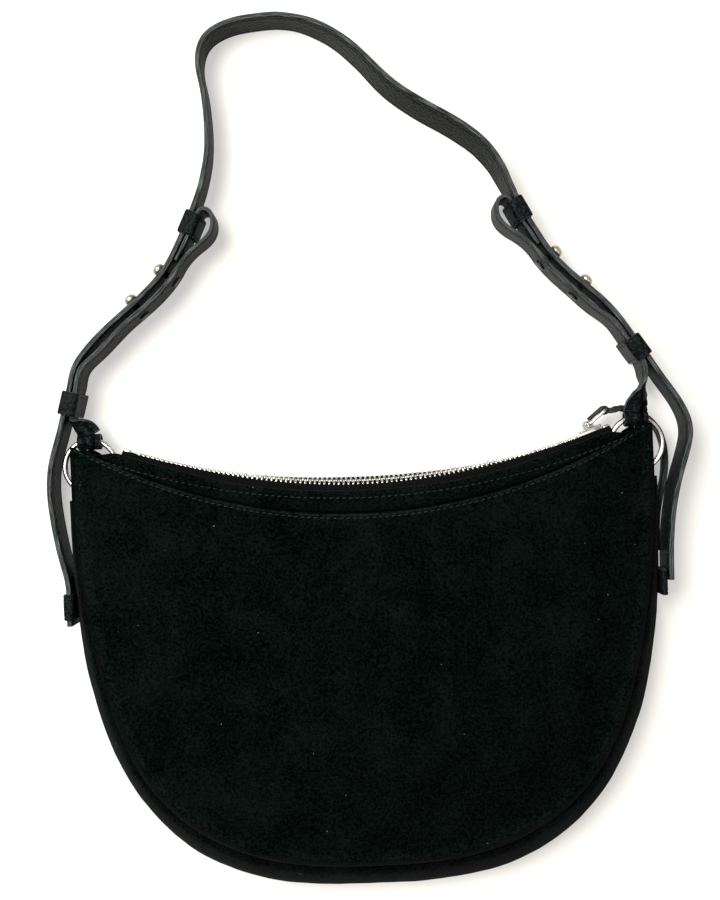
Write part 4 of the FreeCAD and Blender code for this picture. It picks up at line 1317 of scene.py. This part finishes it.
@dataclass
class Zip:
    """The mouth's metal zip on its arc: woven tapes, two rows of teeth, stops, slider and link."""

    looks: Finishes
    centre: float = 456.0         # level of the arc's axis
    radius: float = 364.0         # of the chain
    height: float = 14.0
    chain: float = 92.0           # level of the chain at mid mouth
    sag: float = 46.0             # degrees that the closed chain lies back at mid mouth
    sag_reach: float = 9.5        # degrees along the arc to where it lies back a third of that
    travel: float = 36.0          # degrees that the slider runs along the arc
    tape_from: float = -19.42     # degrees along the arc, like the next ones
    tape_to: float = 20.33
    slider_angle: float = 18.80
    last_tooth: float = 17.745
    stop_left: float = -19.14
    stop_right: float = 20.06
    pitch: float = 2.45
    teeth: int = 94               # in each row
    tooth_half: Point = (0.58, 1.32, 1.7)
    tooth_rise: float = 1.2       # from the chain's middle to the middle of a row
    stop_half: Point = (1.8, 1.4, 2.95)
    tape_thickness: float = 0.65
    rounding: float = 0.28        # of the slider's edges
    pin: Pair = (115.76, 115.96)
    link_angle: float = 39.0
    link_length: float = 11.0
    link_width: float = 11.6
    link_corner: float = 1.4
    link_wire: float = 0.8

    def on_arc(self, degrees: Array, level: Array, z: Array) -> Array:
        """Points at angles along the arc, at the level y they would have at mid mouth.

        Args:
            degrees: angles from mid mouth.
            level: y at mid mouth.
            z: height.

        Returns:
            Points, with the inputs' shapes broadcast together.
        """
        a = np.radians(degrees)
        r = self.centre - level
        return np.stack(np.broadcast_arrays(r * np.sin(a), self.centre - r * np.cos(a), z), axis=-1)

    def tapes(self) -> None:
        """Both tapes: a bent strip, upright in the teeth and flat under the suede, swept along the arc.

        The strip leans with the chain near the teeth, and less and less towards the suede that holds it.
        """
        level = np.array((92.0, 92.0, 91.7, 90.8, 89.2, 87.3, 84.0, 79.6))
        front = np.array((14.9, 16.9, 17.8, 18.7, 19.5, 20.1, 20.6, 20.85))
        back = np.array((13.1, 11.1, 9.6, 7.4, 5.0, 3.1, 2.4, 2.15))
        angle = np.linspace(self.tape_from, self.tape_to, 300)[:, None]
        lean = self.lean(angle)
        for name, z, flip in (("zip_tape_front", front, True), ("zip_tape_back", back, False)):
            fine = resample(np.stack((level, z), axis=1), 26)
            y, up = fine[None, :, 0] - self.chain, fine[None, :, 1] - self.height
            hold = 1.0 - smooth((np.abs(up) - 2.6) / 4.2)
            leant_y = y * np.cos(lean) - up * np.sin(lean)
            leant_z = y * np.sin(lean) + up * np.cos(lean)
            points = self.on_arc(angle, self.chain + y + hold * (leant_y - y),
                                 self.height + up + hold * (leant_z - up))
            piece = Surface.grid(points, flip=flip).to_object(name + "_woven", [self.looks.tape], closed=False)
            solidify(piece, self.tape_thickness, 0.0)
            place(piece, Body.BAG, "zip_tape", name)

    def lean(self, degrees: Array) -> Array:
        """How far the sagging chain lies back: a bell curve about mid mouth, upright at the slider's two ends.

        Args:
            degrees: angles from mid mouth.

        Returns:
            Angles from upright, in radians.
        """
        from_right = smooth((self.slider_angle - 2.0 - degrees) / 5.0)
        from_left = smooth((degrees - self.slider_angle + self.travel - 2.0) / 5.0)
        return math.radians(self.sag) * bell(degrees, self.sag_reach) * from_right * from_left

    def frames(self, degrees: Array) -> tuple[Array, Array, Array]:
        """Along, outwards and up at angles on the arc, leaning with the chain.

        Args:
            degrees: angles from mid mouth.

        Returns:
            Three arrays of unit vectors, one row for each angle.
        """
        a = np.radians(degrees)
        zero = 0.0 * a
        lean = self.lean(degrees)[:, None]
        out = np.stack((np.sin(a), -np.cos(a), zero), axis=1)
        return (np.stack((np.cos(a), np.sin(a), zero), axis=1), out * np.cos(lean) - UP * np.sin(lean),
                UP * np.cos(lean) + out * np.sin(lean))

    def rows_of_teeth(self) -> None:
        """Two rows of rounded teeth, half a pitch apart, each clamped on its tape."""
        step = math.degrees(self.pitch / self.radius)
        for name, shift, rise in (("zip_teeth_front", 0.0, self.tooth_rise),
                                  ("zip_teeth_back", 0.5, -self.tooth_rise)):
            angle = self.last_tooth - step * (np.arange(self.teeth) + shift)
            axes = self.frames(angle)
            centre = self.on_arc(angle, np.array(self.chain), np.array(self.height)) + rise * axes[2]
            blocks = pebble_box(centre, axes, self.tooth_half)
            place(blocks.to_object(name + "_nickel", [self.looks.nickel]), Body.BAG, "bright_nickel", name)

    def stops(self) -> None:
        """End stops: rounded blocks that pinch both tapes."""
        angle = np.array((self.stop_left, self.stop_right))
        blocks = pebble_box(self.on_arc(angle, np.array(self.chain), np.array(self.height)), self.frames(angle),
                            self.stop_half, rows=11, columns=24)
        place(blocks.to_object("zip_end_stops_nickel", [self.looks.nickel]), Body.BAG, "bright_nickel",
              "zip_end_stops")

    def slider(self) -> None:
        """Slider: the cast body with its edges rounded."""
        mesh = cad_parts["zip_slider"].data.copy()
        mesh.name = "zip_slider_cast"
        work = bmesh.new()
        work.from_mesh(mesh)
        bmesh.ops.remove_doubles(work, verts=work.verts, dist=1e-6)
        bmesh.ops.dissolve_limit(work, angle_limit=math.radians(1.0), verts=work.verts, edges=work.edges)
        work.to_mesh(mesh)
        work.free()
        mesh.materials.clear()
        mesh.materials.append(self.looks.nickel)
        piece = bpy.data.objects.new("zip_slider_cast", mesh)
        bpy.context.scene.collection.objects.link(piece)
        bevel = piece.modifiers.new("rounding", "BEVEL")
        bevel.width = self.rounding * MM
        bevel.segments = 3
        bevel.limit_method = "ANGLE"
        bevel.angle_limit = math.radians(40.0)
        place(piece, Body.SLIDER, "bright_nickel", "zip_slider")

    def link(self) -> None:
        """Link: a round wire bent to a rectangle with soft corners."""
        way = np.array((math.cos(math.radians(self.link_angle)), math.sin(math.radians(self.link_angle)), 0.0))
        half = self.link_width / 2
        loop = ring_loop(0.0, self.link_length, -half, half, self.link_corner, 110)
        base = np.array((*self.pin, self.height))
        path = base + loop[:, :1] * way + loop[:, 1:] * UP
        place(tube(path, self.link_wire).to_object("zip_pull_link_wire", [self.looks.nickel]),
              Body.PULL, "bright_nickel", "zip_pull_link")

    def build(self) -> None:
        """Makes every piece of the zip."""
        self.tapes()
        self.rows_of_teeth()
        self.stops()
        self.slider()
        self.link()


@dataclass
class Route:
    """The shoulder strap's plan route from its left lower keeper to its right one."""

    left: Sequence[Pair] = (
        (-149.5, 132.0), (-147.43, 139.67), (-145.37, 147.33), (-143.3, 155.0), (-136.5, 165.0),
        (-124.1, 177.0), (-111.0, 187.5), (-101.5, 196.2), (-93.6, 205.9), (-87.6, 217.0), (-82.9, 226.5))
    arch: Sequence[Pair] = (
        (-78.2, 237.5), (-73.8, 251.0), (-71.5, 265.0), (-71.4, 280.0), (-73.0, 296.0), (-74.2, 309.0),
        (-70.6, 319.5), (-61.0, 326.0), (-46.0, 329.2), (-28.0, 329.0), (-10.5, 322.5), (6.5, 309.0),
        (21.5, 293.0), (40.0, 279.2), (56.5, 269.0), (68.5, 258.8), (76.0, 248.0), (81.0, 237.0))
    right: Sequence[Pair] = (
        (86.0, 226.6), (91.2, 217.3), (99.0, 204.8), (112.0, 190.4), (123.6, 179.6), (133.5, 168.2),
        (139.8, 158.8), (146.0, 149.5))
    table: Array = field(init=False)
    length: Array = field(init=False)

    def __post_init__(self) -> None:
        """Works out the dense route: a natural cubic on chord length."""
        plan = np.array((*self.left, *self.arch, *self.right))
        knots = lengths_along(plan)
        self.table = natural_cubic(knots, plan, np.linspace(0.0, knots[-1], 4000))
        self.length = lengths_along(self.table)

    def length_of(self, point: Pair) -> float:
        """Length along the route to the place nearest a point."""
        return float(self.length[np.argmin(np.linalg.norm(self.table - np.array(point), axis=1))])

    def at(self, s: float) -> tuple[Array, Array]:
        """Point and direction at a length along the route.

        Args:
            s: the length.

        Returns:
            The point, and the way between the points just ahead and just behind.
        """
        step = 0.3
        spot, ahead, behind = (np.array([np.interp(t, self.length, self.table[:, k]) for k in (0, 1)])
                               for t in (s, s + step, s - step))
        return spot, unit(ahead - behind)


@dataclass
class Branch:
    """One side of the strap; lengths run from its lower keeper up to the arch."""

    side: Side
    route: Route
    stud_gaps: Pair = (28.0, 50.0)  # from the upper keeper down to each stud

    @property
    def upper_keeper(self) -> float:
        """Length from the lower end to the middle of the upper keeper."""
        if self.side is Side.LEFT:
            return self.route.length_of(self.route.left[-1])
        return float(self.route.length[-1]) - self.route.length_of(self.route.right[0])

    def on_route(self, s: float) -> float:
        """Length along the whole route."""
        return s if self.side is Side.LEFT else float(self.route.length[-1]) - s

    def inward(self, s: float) -> Array:
        """Direction from the shoulder strap towards the middle of the loop."""
        _, along = self.route.at(self.on_route(s))
        return np.array((along[1], -along[0], 0.0))

    def along(self, s: float) -> Array:
        """Direction of the route."""
        _, along = self.route.at(self.on_route(s))
        return np.array((*along, 0.0))

    def point(self, s: float, inward: float, z: float) -> Array:
        """A point at a length, moved inwards from the shoulder strap's middle."""
        spot, _ = self.route.at(self.on_route(s))
        return np.array((*spot, z)) + self.inward(s) * inward

    def studs(self) -> Pair:
        """Lengths of the two studs."""
        return self.upper_keeper - self.stud_gaps[0], self.upper_keeper - self.stud_gaps[1]


@dataclass
class Straps:
    """All leather straps, keepers, tabs, rings and studs."""

    looks: Finishes
    route: Route = field(default_factory=Route)
    width: float = 22.0
    thickness: float = 2.6
    stitch_inset: float = 2.4
    floor: float = 1.8            # height of the straps' lower edges beside the bag, and at the top of the arch
    arch_floor: float = 0.4
    arch_lean: float = 12.0       # degrees that the right half of the arch leans outwards
    layer_pitch: float = 3.1      # between the middles of both straps at the lower keepers, and at the studs
    layer_spread: float = 5.2
    straight_run: float = 23.0    # length up to where the straps part, and over which they do
    spread_length: float = 13.0
    fold_offset: float = 2.9      # from the shoulder strap's middle to the folded end's
    fold_thickness: float = 2.0
    keeper_width: float = 12.0
    keeper_wall: float = 1.2
    keeper_play: float = 0.5      # room between a keeper and the straps
    keeper_stitch: float = 1.7
    keeper_rest: float = 6.2      # length up the strap to a lower keeper
    side_face: float = 148.08     # where the gusset stands at the side keepers
    side_level: float = 35.0
    side_width: float = 13.0
    side_wall: float = 1.0
    eye_bore: float = 2.42
    eye_wall: float = 1.6
    eye_width: float = 12.0
    strap_eye: float = 117.98     # levels of the eyes on the rings
    tab_eye: float = 93.02
    ring_level: float = 105.5
    ring_height: float = 16.0
    ring_radius: float = 13.2
    ring_wire: float = 1.4
    ring_left: float = -138.0
    ring_right: float = 140.0
    stud_ball: float = 3.3        # radii of a stud's ball and neck
    stud_neck: float = 1.7
    stud_rise: float = 2.5        # half the ball's height
    link_angle: float = 39.0
    far_bar: Point = (124.31, 122.88, 14.0)
    strip_bore: float = 1.1
    strip_wall: float = 1.2       # one layer of the pull strip; two and their paste make its thickness
    strip_thickness: float = 2.6
    strip_width: float = 8.0
    strip_neck: float = 7.4       # width at the link
    strip_stitch: float = 1.3
    strip_split: Point = (136.9, 123.0, 7.1)  # where the bend meets the free end
    strip_hold: Point = (126.5, 123.1, 13.8)  # where the link takes hold

    @property
    def skin(self) -> list[Material]:
        """Finishes of a sewn strap: faces, cut edges, thread."""
        return [self.looks.leather, self.looks.edge, self.looks.thread]

    @property
    def middle(self) -> float:
        """Height of the straps' middle."""
        return self.floor + self.width / 2

    def ring_x(self, side: Side) -> float:
        """Middle of a side's ring."""
        return self.ring_left if side is Side.LEFT else self.ring_right

    def leather(self, surface: Surface, node: str, body: Body) -> None:
        """Dresses a sewn piece and puts it on its body."""
        place(surface.to_object(node + "_leather", self.skin), body, "strap_leather", node)

    def shoulder(self) -> None:
        """Shoulder strap: standing on its edge, leaning outwards along the right half of the arch."""
        plan = (*self.route.left, *self.route.arch, *self.route.right)
        count, start = len(self.route.arch), len(self.route.left)
        k = np.arange(len(plan)) - start
        on_arch = (k >= 0) & (k < count)
        rise = np.where(on_arch, np.sin(math.pi * (k + 1) / (count + 1)), 0.0)
        share = np.clip((k - count / 2) / (count / 2), 0.0, 1.0)
        lean = np.radians(self.arch_lean) * np.where(on_arch, np.sin(math.pi * share), 0.0)
        z = (self.floor + (self.arch_floor - self.floor) * rise + self.width / 2 * np.cos(lean)
             + self.thickness / 2 * np.sin(lean))
        stations = [(x, y, h, -math.degrees(a), self.width, self.thickness)
                    for (x, y), h, a in zip(plan, z, lean)]
        track = Track.through(stations, 1.3).waved(3, 0.3, 0.25, 120.0)
        self.leather(track.band() + track.seam(self.stitch_inset), "shoulder_strap", Body.STRAP)

    def neck(self, side: Side) -> list[Station]:
        """Where the lower strap twists upright between its ring and its keeper.

        Args:
            side: which ring.

        Returns:
            Stations of the band.
        """
        join = self.eye_bore + self.eye_wall / 2
        # across and up from the eye, height, twist, width
        steps = {
            Side.LEFT: ((0.0, join, 16.0, 90.0, 12.0), (-1.2, 5.0, 15.7, 82.0, 12.0),
                        (-4.6, 6.9, 15.0, 55.0, 12.0), (-7.2, 8.5, 14.0, 22.0, 12.0),
                        (-8.6, 10.5, 13.2, 5.0, 12.0)),
            Side.RIGHT: ((0.0, join, 16.0, -90.0, 12.0), (0.6, 5.6, 15.8, -82.0, 12.0),
                         (2.4, 9.4, 15.2, -56.0, 12.0), (4.4, 13.4, 14.4, -28.0, 13.5),
                         (5.3, 18.0, 13.4, -6.0, 17.0), (5.1, 23.0, 12.9, 0.0, 20.5)),
        }[side]
        return [(self.ring_x(side) + dx, self.strap_eye + dy, z, twist, width, self.thickness)
                for dx, dy, z, twist, width in steps]

    def eye(self, x: float, level: float) -> Surface:
        """A leather eye: a band round the ring's wire, its width along the wire.

        Args:
            x: its middle across.
            level: its middle up.

        Returns:
            The surface.
        """
        turn = full_turn(60)
        radius = self.eye_bore + self.eye_wall / 2
        path = np.stack((np.full(len(turn), x), level + radius * np.cos(turn),
                         self.ring_height + radius * np.sin(turn)), axis=1)
        ring = loop_track(path, np.array((1.0, 0.0, 0.0)), self.eye_width, self.eye_wall)
        return ring.band(groove=0.0, layers=False, closed=True)

    def lower(self, branch: Branch) -> None:
        """Lower strap: eye, twisted neck, straight run, spread past the studs, and the folded top.

        Args:
            branch: the side of the strap.
        """
        stations = self.neck(branch.side)
        lowest = 14.0 if branch.side is Side.LEFT else self.width
        for share in (0.0, 0.35, 0.7, 1.0):
            wide = lowest + (self.width - lowest) * min(1.0, share / 0.7)
            spot = branch.point(self.straight_run * share, self.layer_pitch, self.middle)
            stations.append((*spot, 0.0, wide, self.thickness))
        spread, offset, top = self.layer_spread, self.fold_offset, branch.upper_keeper
        # along from the upper keeper, inwards from the shoulder strap's middle
        fold = ((-26.0, spread), (-18.5, spread + 0.4), (-11.0, spread + 2.8), (-4.5, spread + 6.0),
                (1.5, spread + 7.3), (6.5, spread + 5.6), (9.3, spread + 2.4), (8.9, offset + 1.4),
                (4.8, offset), (-3.0, offset), (-11.0, offset), (-19.5, offset - 0.2))
        first, last = self.straight_run + self.spread_length, top + fold[0][0]
        for share in (0.0, 0.35, 0.7):
            spot = branch.point(first + (last - first) * share, spread, self.middle)
            stations.append((*spot, 0.0, self.width, self.thickness))
        for up, inward in fold:
            thick = self.thickness if up == fold[0][0] else self.fold_thickness
            stations.append((*branch.point(top + up, inward, self.middle), 0.0, self.width, thick))
        track = Track.through(stations, 0.9)
        sewn = track.part(track.length[np.argmax(track.width > 19.0)], track.length[-1])
        surface = (track.band() + self.eye(self.ring_x(branch.side), self.strap_eye)
                   + sewn.seam(self.stitch_inset, margin=3.0))
        self.leather(surface, "lower_strap_" + branch.side.word, Body.STRAP)

    def sewn_loop(self, track: Track, face: int) -> Surface:
        """A keeper's closed band, stitched on its outer face."""
        return (track.band(groove=self.keeper_stitch, layers=False, closed=True)
                + track.seam(self.keeper_stitch, 2.9, 0.5, faces=(face,)))

    def keeper(self, branch: Branch, s: float, reach: float, name: str, body: Body) -> None:
        """A keeper: a sewn loop round both layers.

        Args:
            branch: the side of the strap.
            s: length along the branch.
            reach: how far inwards its room goes.
            name: the CAD node.
            body: the body that carries it.
        """
        play, wall = self.keeper_play, self.keeper_wall
        near, far = -self.thickness / 2 - play - wall / 2, reach + play + wall / 2
        low = self.floor - play - wall / 2
        loop = ring_loop(near, far, low, low + self.width + 2 * play + wall, 1.5, 150)
        centre = branch.point(s, 0.0, 0.0)
        path = centre + loop[:, :1] * branch.inward(s) + loop[:, 1:] * UP
        track = loop_track(path, branch.along(s), self.keeper_width, wall)
        self.leather(self.sewn_loop(track, -1), name, body)

    def studs_of(self, branches: Sequence[Branch]) -> None:
        """Ball studs and their screws: turned profiles through both layers.

        Args:
            branches: both sides of the strap.
        """
        seat, near = self.layer_spread - self.thickness / 2 - 0.35, -self.thickness / 2 - 0.4
        neck = self.stud_neck
        bulge = np.linspace(-1.0, 1.0, 25)
        ball_h = seat - near + self.stud_rise + self.stud_rise * np.sin(bulge * math.pi / 2)
        ball_r = self.stud_ball * np.cos(bulge * math.pi / 2) ** 0.92
        ball_r[0] = neck
        keep = ball_r >= np.where(bulge < 0, neck, 0.0)
        radii = np.concatenate(((0.0, 2.6, 2.95, 3.0, 2.9, 2.5, neck, neck), ball_r[keep]))
        heights = np.concatenate(((0.0, 0.0, 0.12, 0.4, 0.7, 0.8, 0.85, ball_h[keep][0] - 0.25), ball_h[keep]))
        head_r = np.array((0.0, 1.5, 2.6, 2.95, 3.0, 2.9, 1.2, 1.2, 1.0, 0.0))
        head_h = np.array((-0.1, -0.06, 0.05, 0.25, 0.6, 0.9, 0.92, 5.2, 5.4, 5.4))
        balls: list[Surface] = []
        screws: list[Surface] = []
        for branch in branches:
            for s in branch.studs():
                out = -branch.inward(s)
                balls.append(lathe(radii, heights, branch.point(s, seat, self.middle), out))
                far = self.layer_spread + self.thickness / 2 + 1.1
                screws.append(lathe(head_r, head_h, branch.point(s, far, self.middle), out))
        for name, parts, metal in (("ball_studs", balls, self.looks.antique),
                                   ("stud_screws", screws, self.looks.tarnished)):
            place(joined(parts).to_object(name + "_nickel", [metal]), Body.STRAP, "antique_nickel", name)

    def tails(self) -> None:
        """Strap ends: they leave the lower keepers and lie along the bag."""
        tuck = self.side_face + self.side_wall + 0.3 + self.thickness / 2
        left = ((-149.6, 131.6), (-152.6, 121.0), (-156.6, 107.5), (-158.0, 93.0), (-156.6, 77.0),
                (-153.4, 59.0), (-150.6, 45.0), (-tuck, 35.0), (-tuck, 25.5))
        right = ((146.25, 149.15), (154.0, 137.0), (162.0, 124.5), (166.0, 111.5), (163.8, 100.0),
                 (159.2, 85.5), (155.6, 69.0), (153.8, 51.0), (153.4, 36.0))
        for side, plan, start, end in ((Side.LEFT, left, (-158.0, 92.0, 12.8), (-150.0, 131.0, 12.8)),
                                       (Side.RIGHT, right, (164.0, 101.0, 12.8), (146.6, 148.6, 12.8))):
            track = Track.through([(x, y, self.middle, 0.0, self.width, self.thickness) for x, y in plan], 1.1)
            surface, node = track.band() + track.seam(self.stitch_inset), "strap_tail_" + side.word
            bend_between(surface.to_object(node + "_leather", self.skin),
                         node)

    def pull_strip(self) -> None:
        """Pull strip: folded round the link's far bar, then a long doubled strip that droops beside the bag."""
        bar, thick, inset = np.array(self.far_bar), self.strip_thickness, self.strip_stitch
        x0, y0, _ = self.far_bar
        way = np.array((math.cos(math.radians(self.link_angle)), math.sin(math.radians(self.link_angle)), 0.0))
        side = np.cross(UP, way)
        radius = self.strip_bore + self.strip_wall / 2
        # across and up from the bar, and height
        offsets = ((4.9, -0.1, 13.4), (8.1, 0.7, 10.4), (11.5, 0.3, 7.4), (16.7, -0.9, 6.0), (22.2, -3.5, 5.2),
                   (27.5, -8.5, 4.8), (31.1, -16.4, 4.6), (32.1, -25.9, 4.6), (30.9, -36.9, 4.6),
                   (27.9, -48.9, 4.6), (26.3, -60.9, 4.6), (25.9, -72.9, 4.6))
        widths = [7.2] * 4 + [self.strip_width] * (len(offsets) - 4)  # a little narrower where it bends
        entry = bar + unit(np.array((4.9, -0.1, -0.6))) * radius
        stations = [(*entry, 0.0, self.strip_neck, thick)]
        stations += [(x0 + dx, y0 + dy, z, 0.0, width, thick) for (dx, dy, z), width in zip(offsets, widths)]
        track = Track.through(stations, 0.7)
        away = np.linalg.norm(track.centre[:, :2] - np.array((x0 + 12.6, y0 + 0.1)), axis=1)
        split = track.length[np.argmin(away)]
        upper, lower = track.part(0.0, split + 0.1), track.part(split - 0.1, track.length[-1])
        turn = full_turn(48)
        path = bar + radius * (np.cos(turn)[:, None] * way + np.sin(turn)[:, None] * side)
        ring = loop_track(path, UP, self.strip_width, self.strip_wall)
        eye = ring.band(groove=0.0, layers=False, closed=True)
        stub = Track.through([(*(bar + side * radius - way * d), 0.0, self.strip_neck, self.strip_wall)
                              for d in (-0.4, 3.0, 6.0, 8.5)], 0.8)
        near = upper.band(groove=inset, ends=(True, False)) + eye + stub.band(groove=0.0, layers=False)
        near = near + upper.seam(inset, 2.8, 3.0)
        bend_between(near.to_object("zip_pull_strip_fold", self.skin),
                     "zip_pull_strip")
        far = lower.band(groove=inset, ends=(False, True)) + lower.seam(inset, 2.8, 2.0)
        piece = place(far.to_object("zip_pull_strip_end", self.skin), Body.SLIDER, "strap_leather")
        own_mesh(piece)

    def rings(self) -> None:
        """Rings, and the leather tabs that hold them in the corners of the bag."""
        turn = full_turn(120)
        # share of the way inwards, down from the eye, height
        steps = ((0.0, 3.22, 16.0), (0.25, 8.4, 13.0), (0.75, 18.0, 7.0), (1.0, 26.4, 4.6), (1.0, 33.6, 4.24))
        for side, body in ((Side.LEFT, Body.RING_LEFT), (Side.RIGHT, Body.RING_RIGHT)):
            x, name = self.ring_x(side), "ring_" + side.word
            path = np.stack((x + self.ring_radius * np.cos(turn),
                             self.ring_level + self.ring_radius * np.sin(turn),
                             np.full(len(turn), self.ring_height)), axis=1)
            hoop = tube(path, self.ring_wire, 24)
            place(hoop.to_object(name + "_nickel", [self.looks.nickel]), body, "bright_nickel", name)
            track = Track.through([(x - side.value * 11.0 * share, self.tab_eye - down, z, 90.0, self.eye_width,
                                    self.thickness) for share, down, z in steps], 0.9)
            surface = track.band() + self.eye(x, self.tab_eye) + track.part(5.0, 40.0).seam(2.0, margin=1.0)
            self.leather(surface, "ring_tab_" + side.word, Body.BAG)

    def side_keepers(self) -> None:
        """Side keepers: sewn loops on the gusset, the right one empty and pressed flat."""
        inner = self.side_face + self.side_wall / 2
        for side, room, corner in ((Side.LEFT, 3.2, 1.4), (Side.RIGHT, 1.0, 0.95)):
            loop = ring_loop(inner, inner + self.side_wall + room, 1.0, 24.6, corner, 140)
            path = np.stack((side.value * loop[:, 0], np.full(len(loop), self.side_level), loop[:, 1]), axis=1)
            track = loop_track(path, np.array((0.0, 1.0, 0.0)), self.side_width, self.side_wall)
            self.leather(self.sewn_loop(track, side.value), "side_keeper_" + side.word, Body.BAG)

    def build(self) -> None:
        """Makes every leather piece and its metal."""
        self.shoulder()
        branches = [Branch(side, self.route) for side in Side]
        for branch, body in zip(branches, (Body.KEEPER_LEFT, Body.KEEPER_RIGHT)):
            self.lower(branch)
            self.keeper(branch, branch.upper_keeper, self.fold_offset + self.fold_thickness / 2,
                        "upper_keeper_" + branch.side.word, Body.STRAP)
            self.keeper(branch, self.keeper_rest, self.layer_pitch + self.thickness / 2,
                        "lower_keeper_" + branch.side.word, body)
        self.studs_of(branches)
        self.tails()
        self.pull_strip()
        self.rings()
        self.side_keepers()


@dataclass
class Studio:
    """White floor, soft light from the upper left, and the camera straight above."""

    eye: Point = (-0.8, 108.0, 680.0)  # of the camera, in millimetres
    roll: float = 2.47            # degrees that the bag is turned in the picture
    focal_pixels: float = 1304.0
    picture_height: float = 900.0
    sensor: float = 24.0
    sheet_half: float = 3000.0    # half the floor's width, and how far it lies below the bag
    sheet_drop: float = 0.15
    aim: Point = (0.0, 0.09, 0.0)  # what the lamps face, in metres
    key_power: float = 33.0
    fill_power: float = 5.0
    shine_share: float = 0.45     # how much of the white room the metal mirrors
    world_level: float = 0.17
    room: str = "#FFEED2"          # walls that warm the shadows a little

    def camera(self) -> None:
        """Camera above the bag, looking straight down."""
        data = bpy.data.cameras.new("camera")
        data.sensor_fit = "VERTICAL"
        data.sensor_height = self.sensor
        data.lens = data.sensor_height * self.focal_pixels / self.picture_height
        data.clip_start = 0.01
        data.clip_end = 10.0
        camera = bpy.data.objects.new("camera", data)
        turn = Matrix.Rotation(math.radians(-self.roll), 4, "Z")
        camera.matrix_world = Matrix.Translation([c * MM for c in self.eye]) @ turn
        bpy.context.scene.collection.objects.link(camera)
        bpy.context.scene.camera = camera

    def floor(self) -> None:
        """The sheet the bag lies on."""
        half, z = self.sheet_half, -self.sheet_drop
        corners = np.array([[(-half, -half, z), (half, -half, z)], [(-half, half, z), (half, half, z)]])
        piece = Surface.grid(corners, flip=True).to_object("white_floor", [Paper().build()], closed=False)

    def lamp(self, name: str, spot: Point, size: float, power: float) -> None:
        """A round soft lamp that faces the bag.

        Args:
            name: the lamp's name.
            spot: where it hangs, in metres.
            size: its width in metres.
            power: its watts.
        """
        data = bpy.data.lights.new(name, "AREA")
        data.shape = "DISK"
        data.size = size
        data.energy = power
        lamp = bpy.data.objects.new(name, data)
        back = unit(np.array(spot) - np.array(self.aim))
        side = unit(np.cross(UP, back))
        axes = np.stack((side, np.cross(back, side), back, np.array(spot)), axis=1)
        lamp.matrix_world = Matrix((*axes.tolist(), (0.0, 0.0, 0.0, 1.0)))
        bpy.context.scene.collection.objects.link(lamp)

    def lights(self) -> None:
        """A large soft lamp at the upper left, a weaker one at the lower right, and an even pale world."""
        self.lamp("window_light", (-0.55, 0.48, 1.08), 0.9, self.key_power)
        self.lamp("fill_light", (0.75, -0.35, 1.0), 1.1, self.fill_power)
        world = bpy.data.worlds.new("pale_room")
        world.use_nodes = True
        tree = world.node_tree
        room = tree.nodes["Background"]
        wire(tree, room, {"Color": linear(self.room), "Strength": self.world_level})
        white = add_node(tree, "Background", {"Color": (1.0, 1.0, 1.0, 1.0), "Strength": 1.0})
        path = add_node(tree, "LightPath")
        shine = add_node(tree, "Math", {
            0: path.outputs["Is Glossy Ray"], 1: self.shine_share}, operation="MULTIPLY")
        seen = add_node(tree, "Math", {0: path.outputs["Is Camera Ray"], 1: shine.outputs[0]},
                        operation="MAXIMUM")
        mix = add_node(tree, "MixShader", {
            "Fac": seen.outputs[0], 1: room.outputs["Background"], 2: white.outputs["Background"]})
        wire(tree, tree.nodes["World Output"], {"Surface": mix.outputs["Shader"]})
        bpy.context.scene.world = world

    def build(self) -> None:
        """Makes the stage and sets the plain view."""
        self.camera()
        self.floor()
        self.lights()
        bpy.context.scene.view_settings.view_transform = "Standard"


def main() -> None:
    """Builds the bag and its stage."""
    logging.basicConfig(level=logging.INFO, format="%(message)s")
    Studio().build()
    looks = Finishes()
    SuedeBody(looks).build()
    Zip(looks).build()
    Straps(looks).build()


if __name__ == "__main__":
    main()
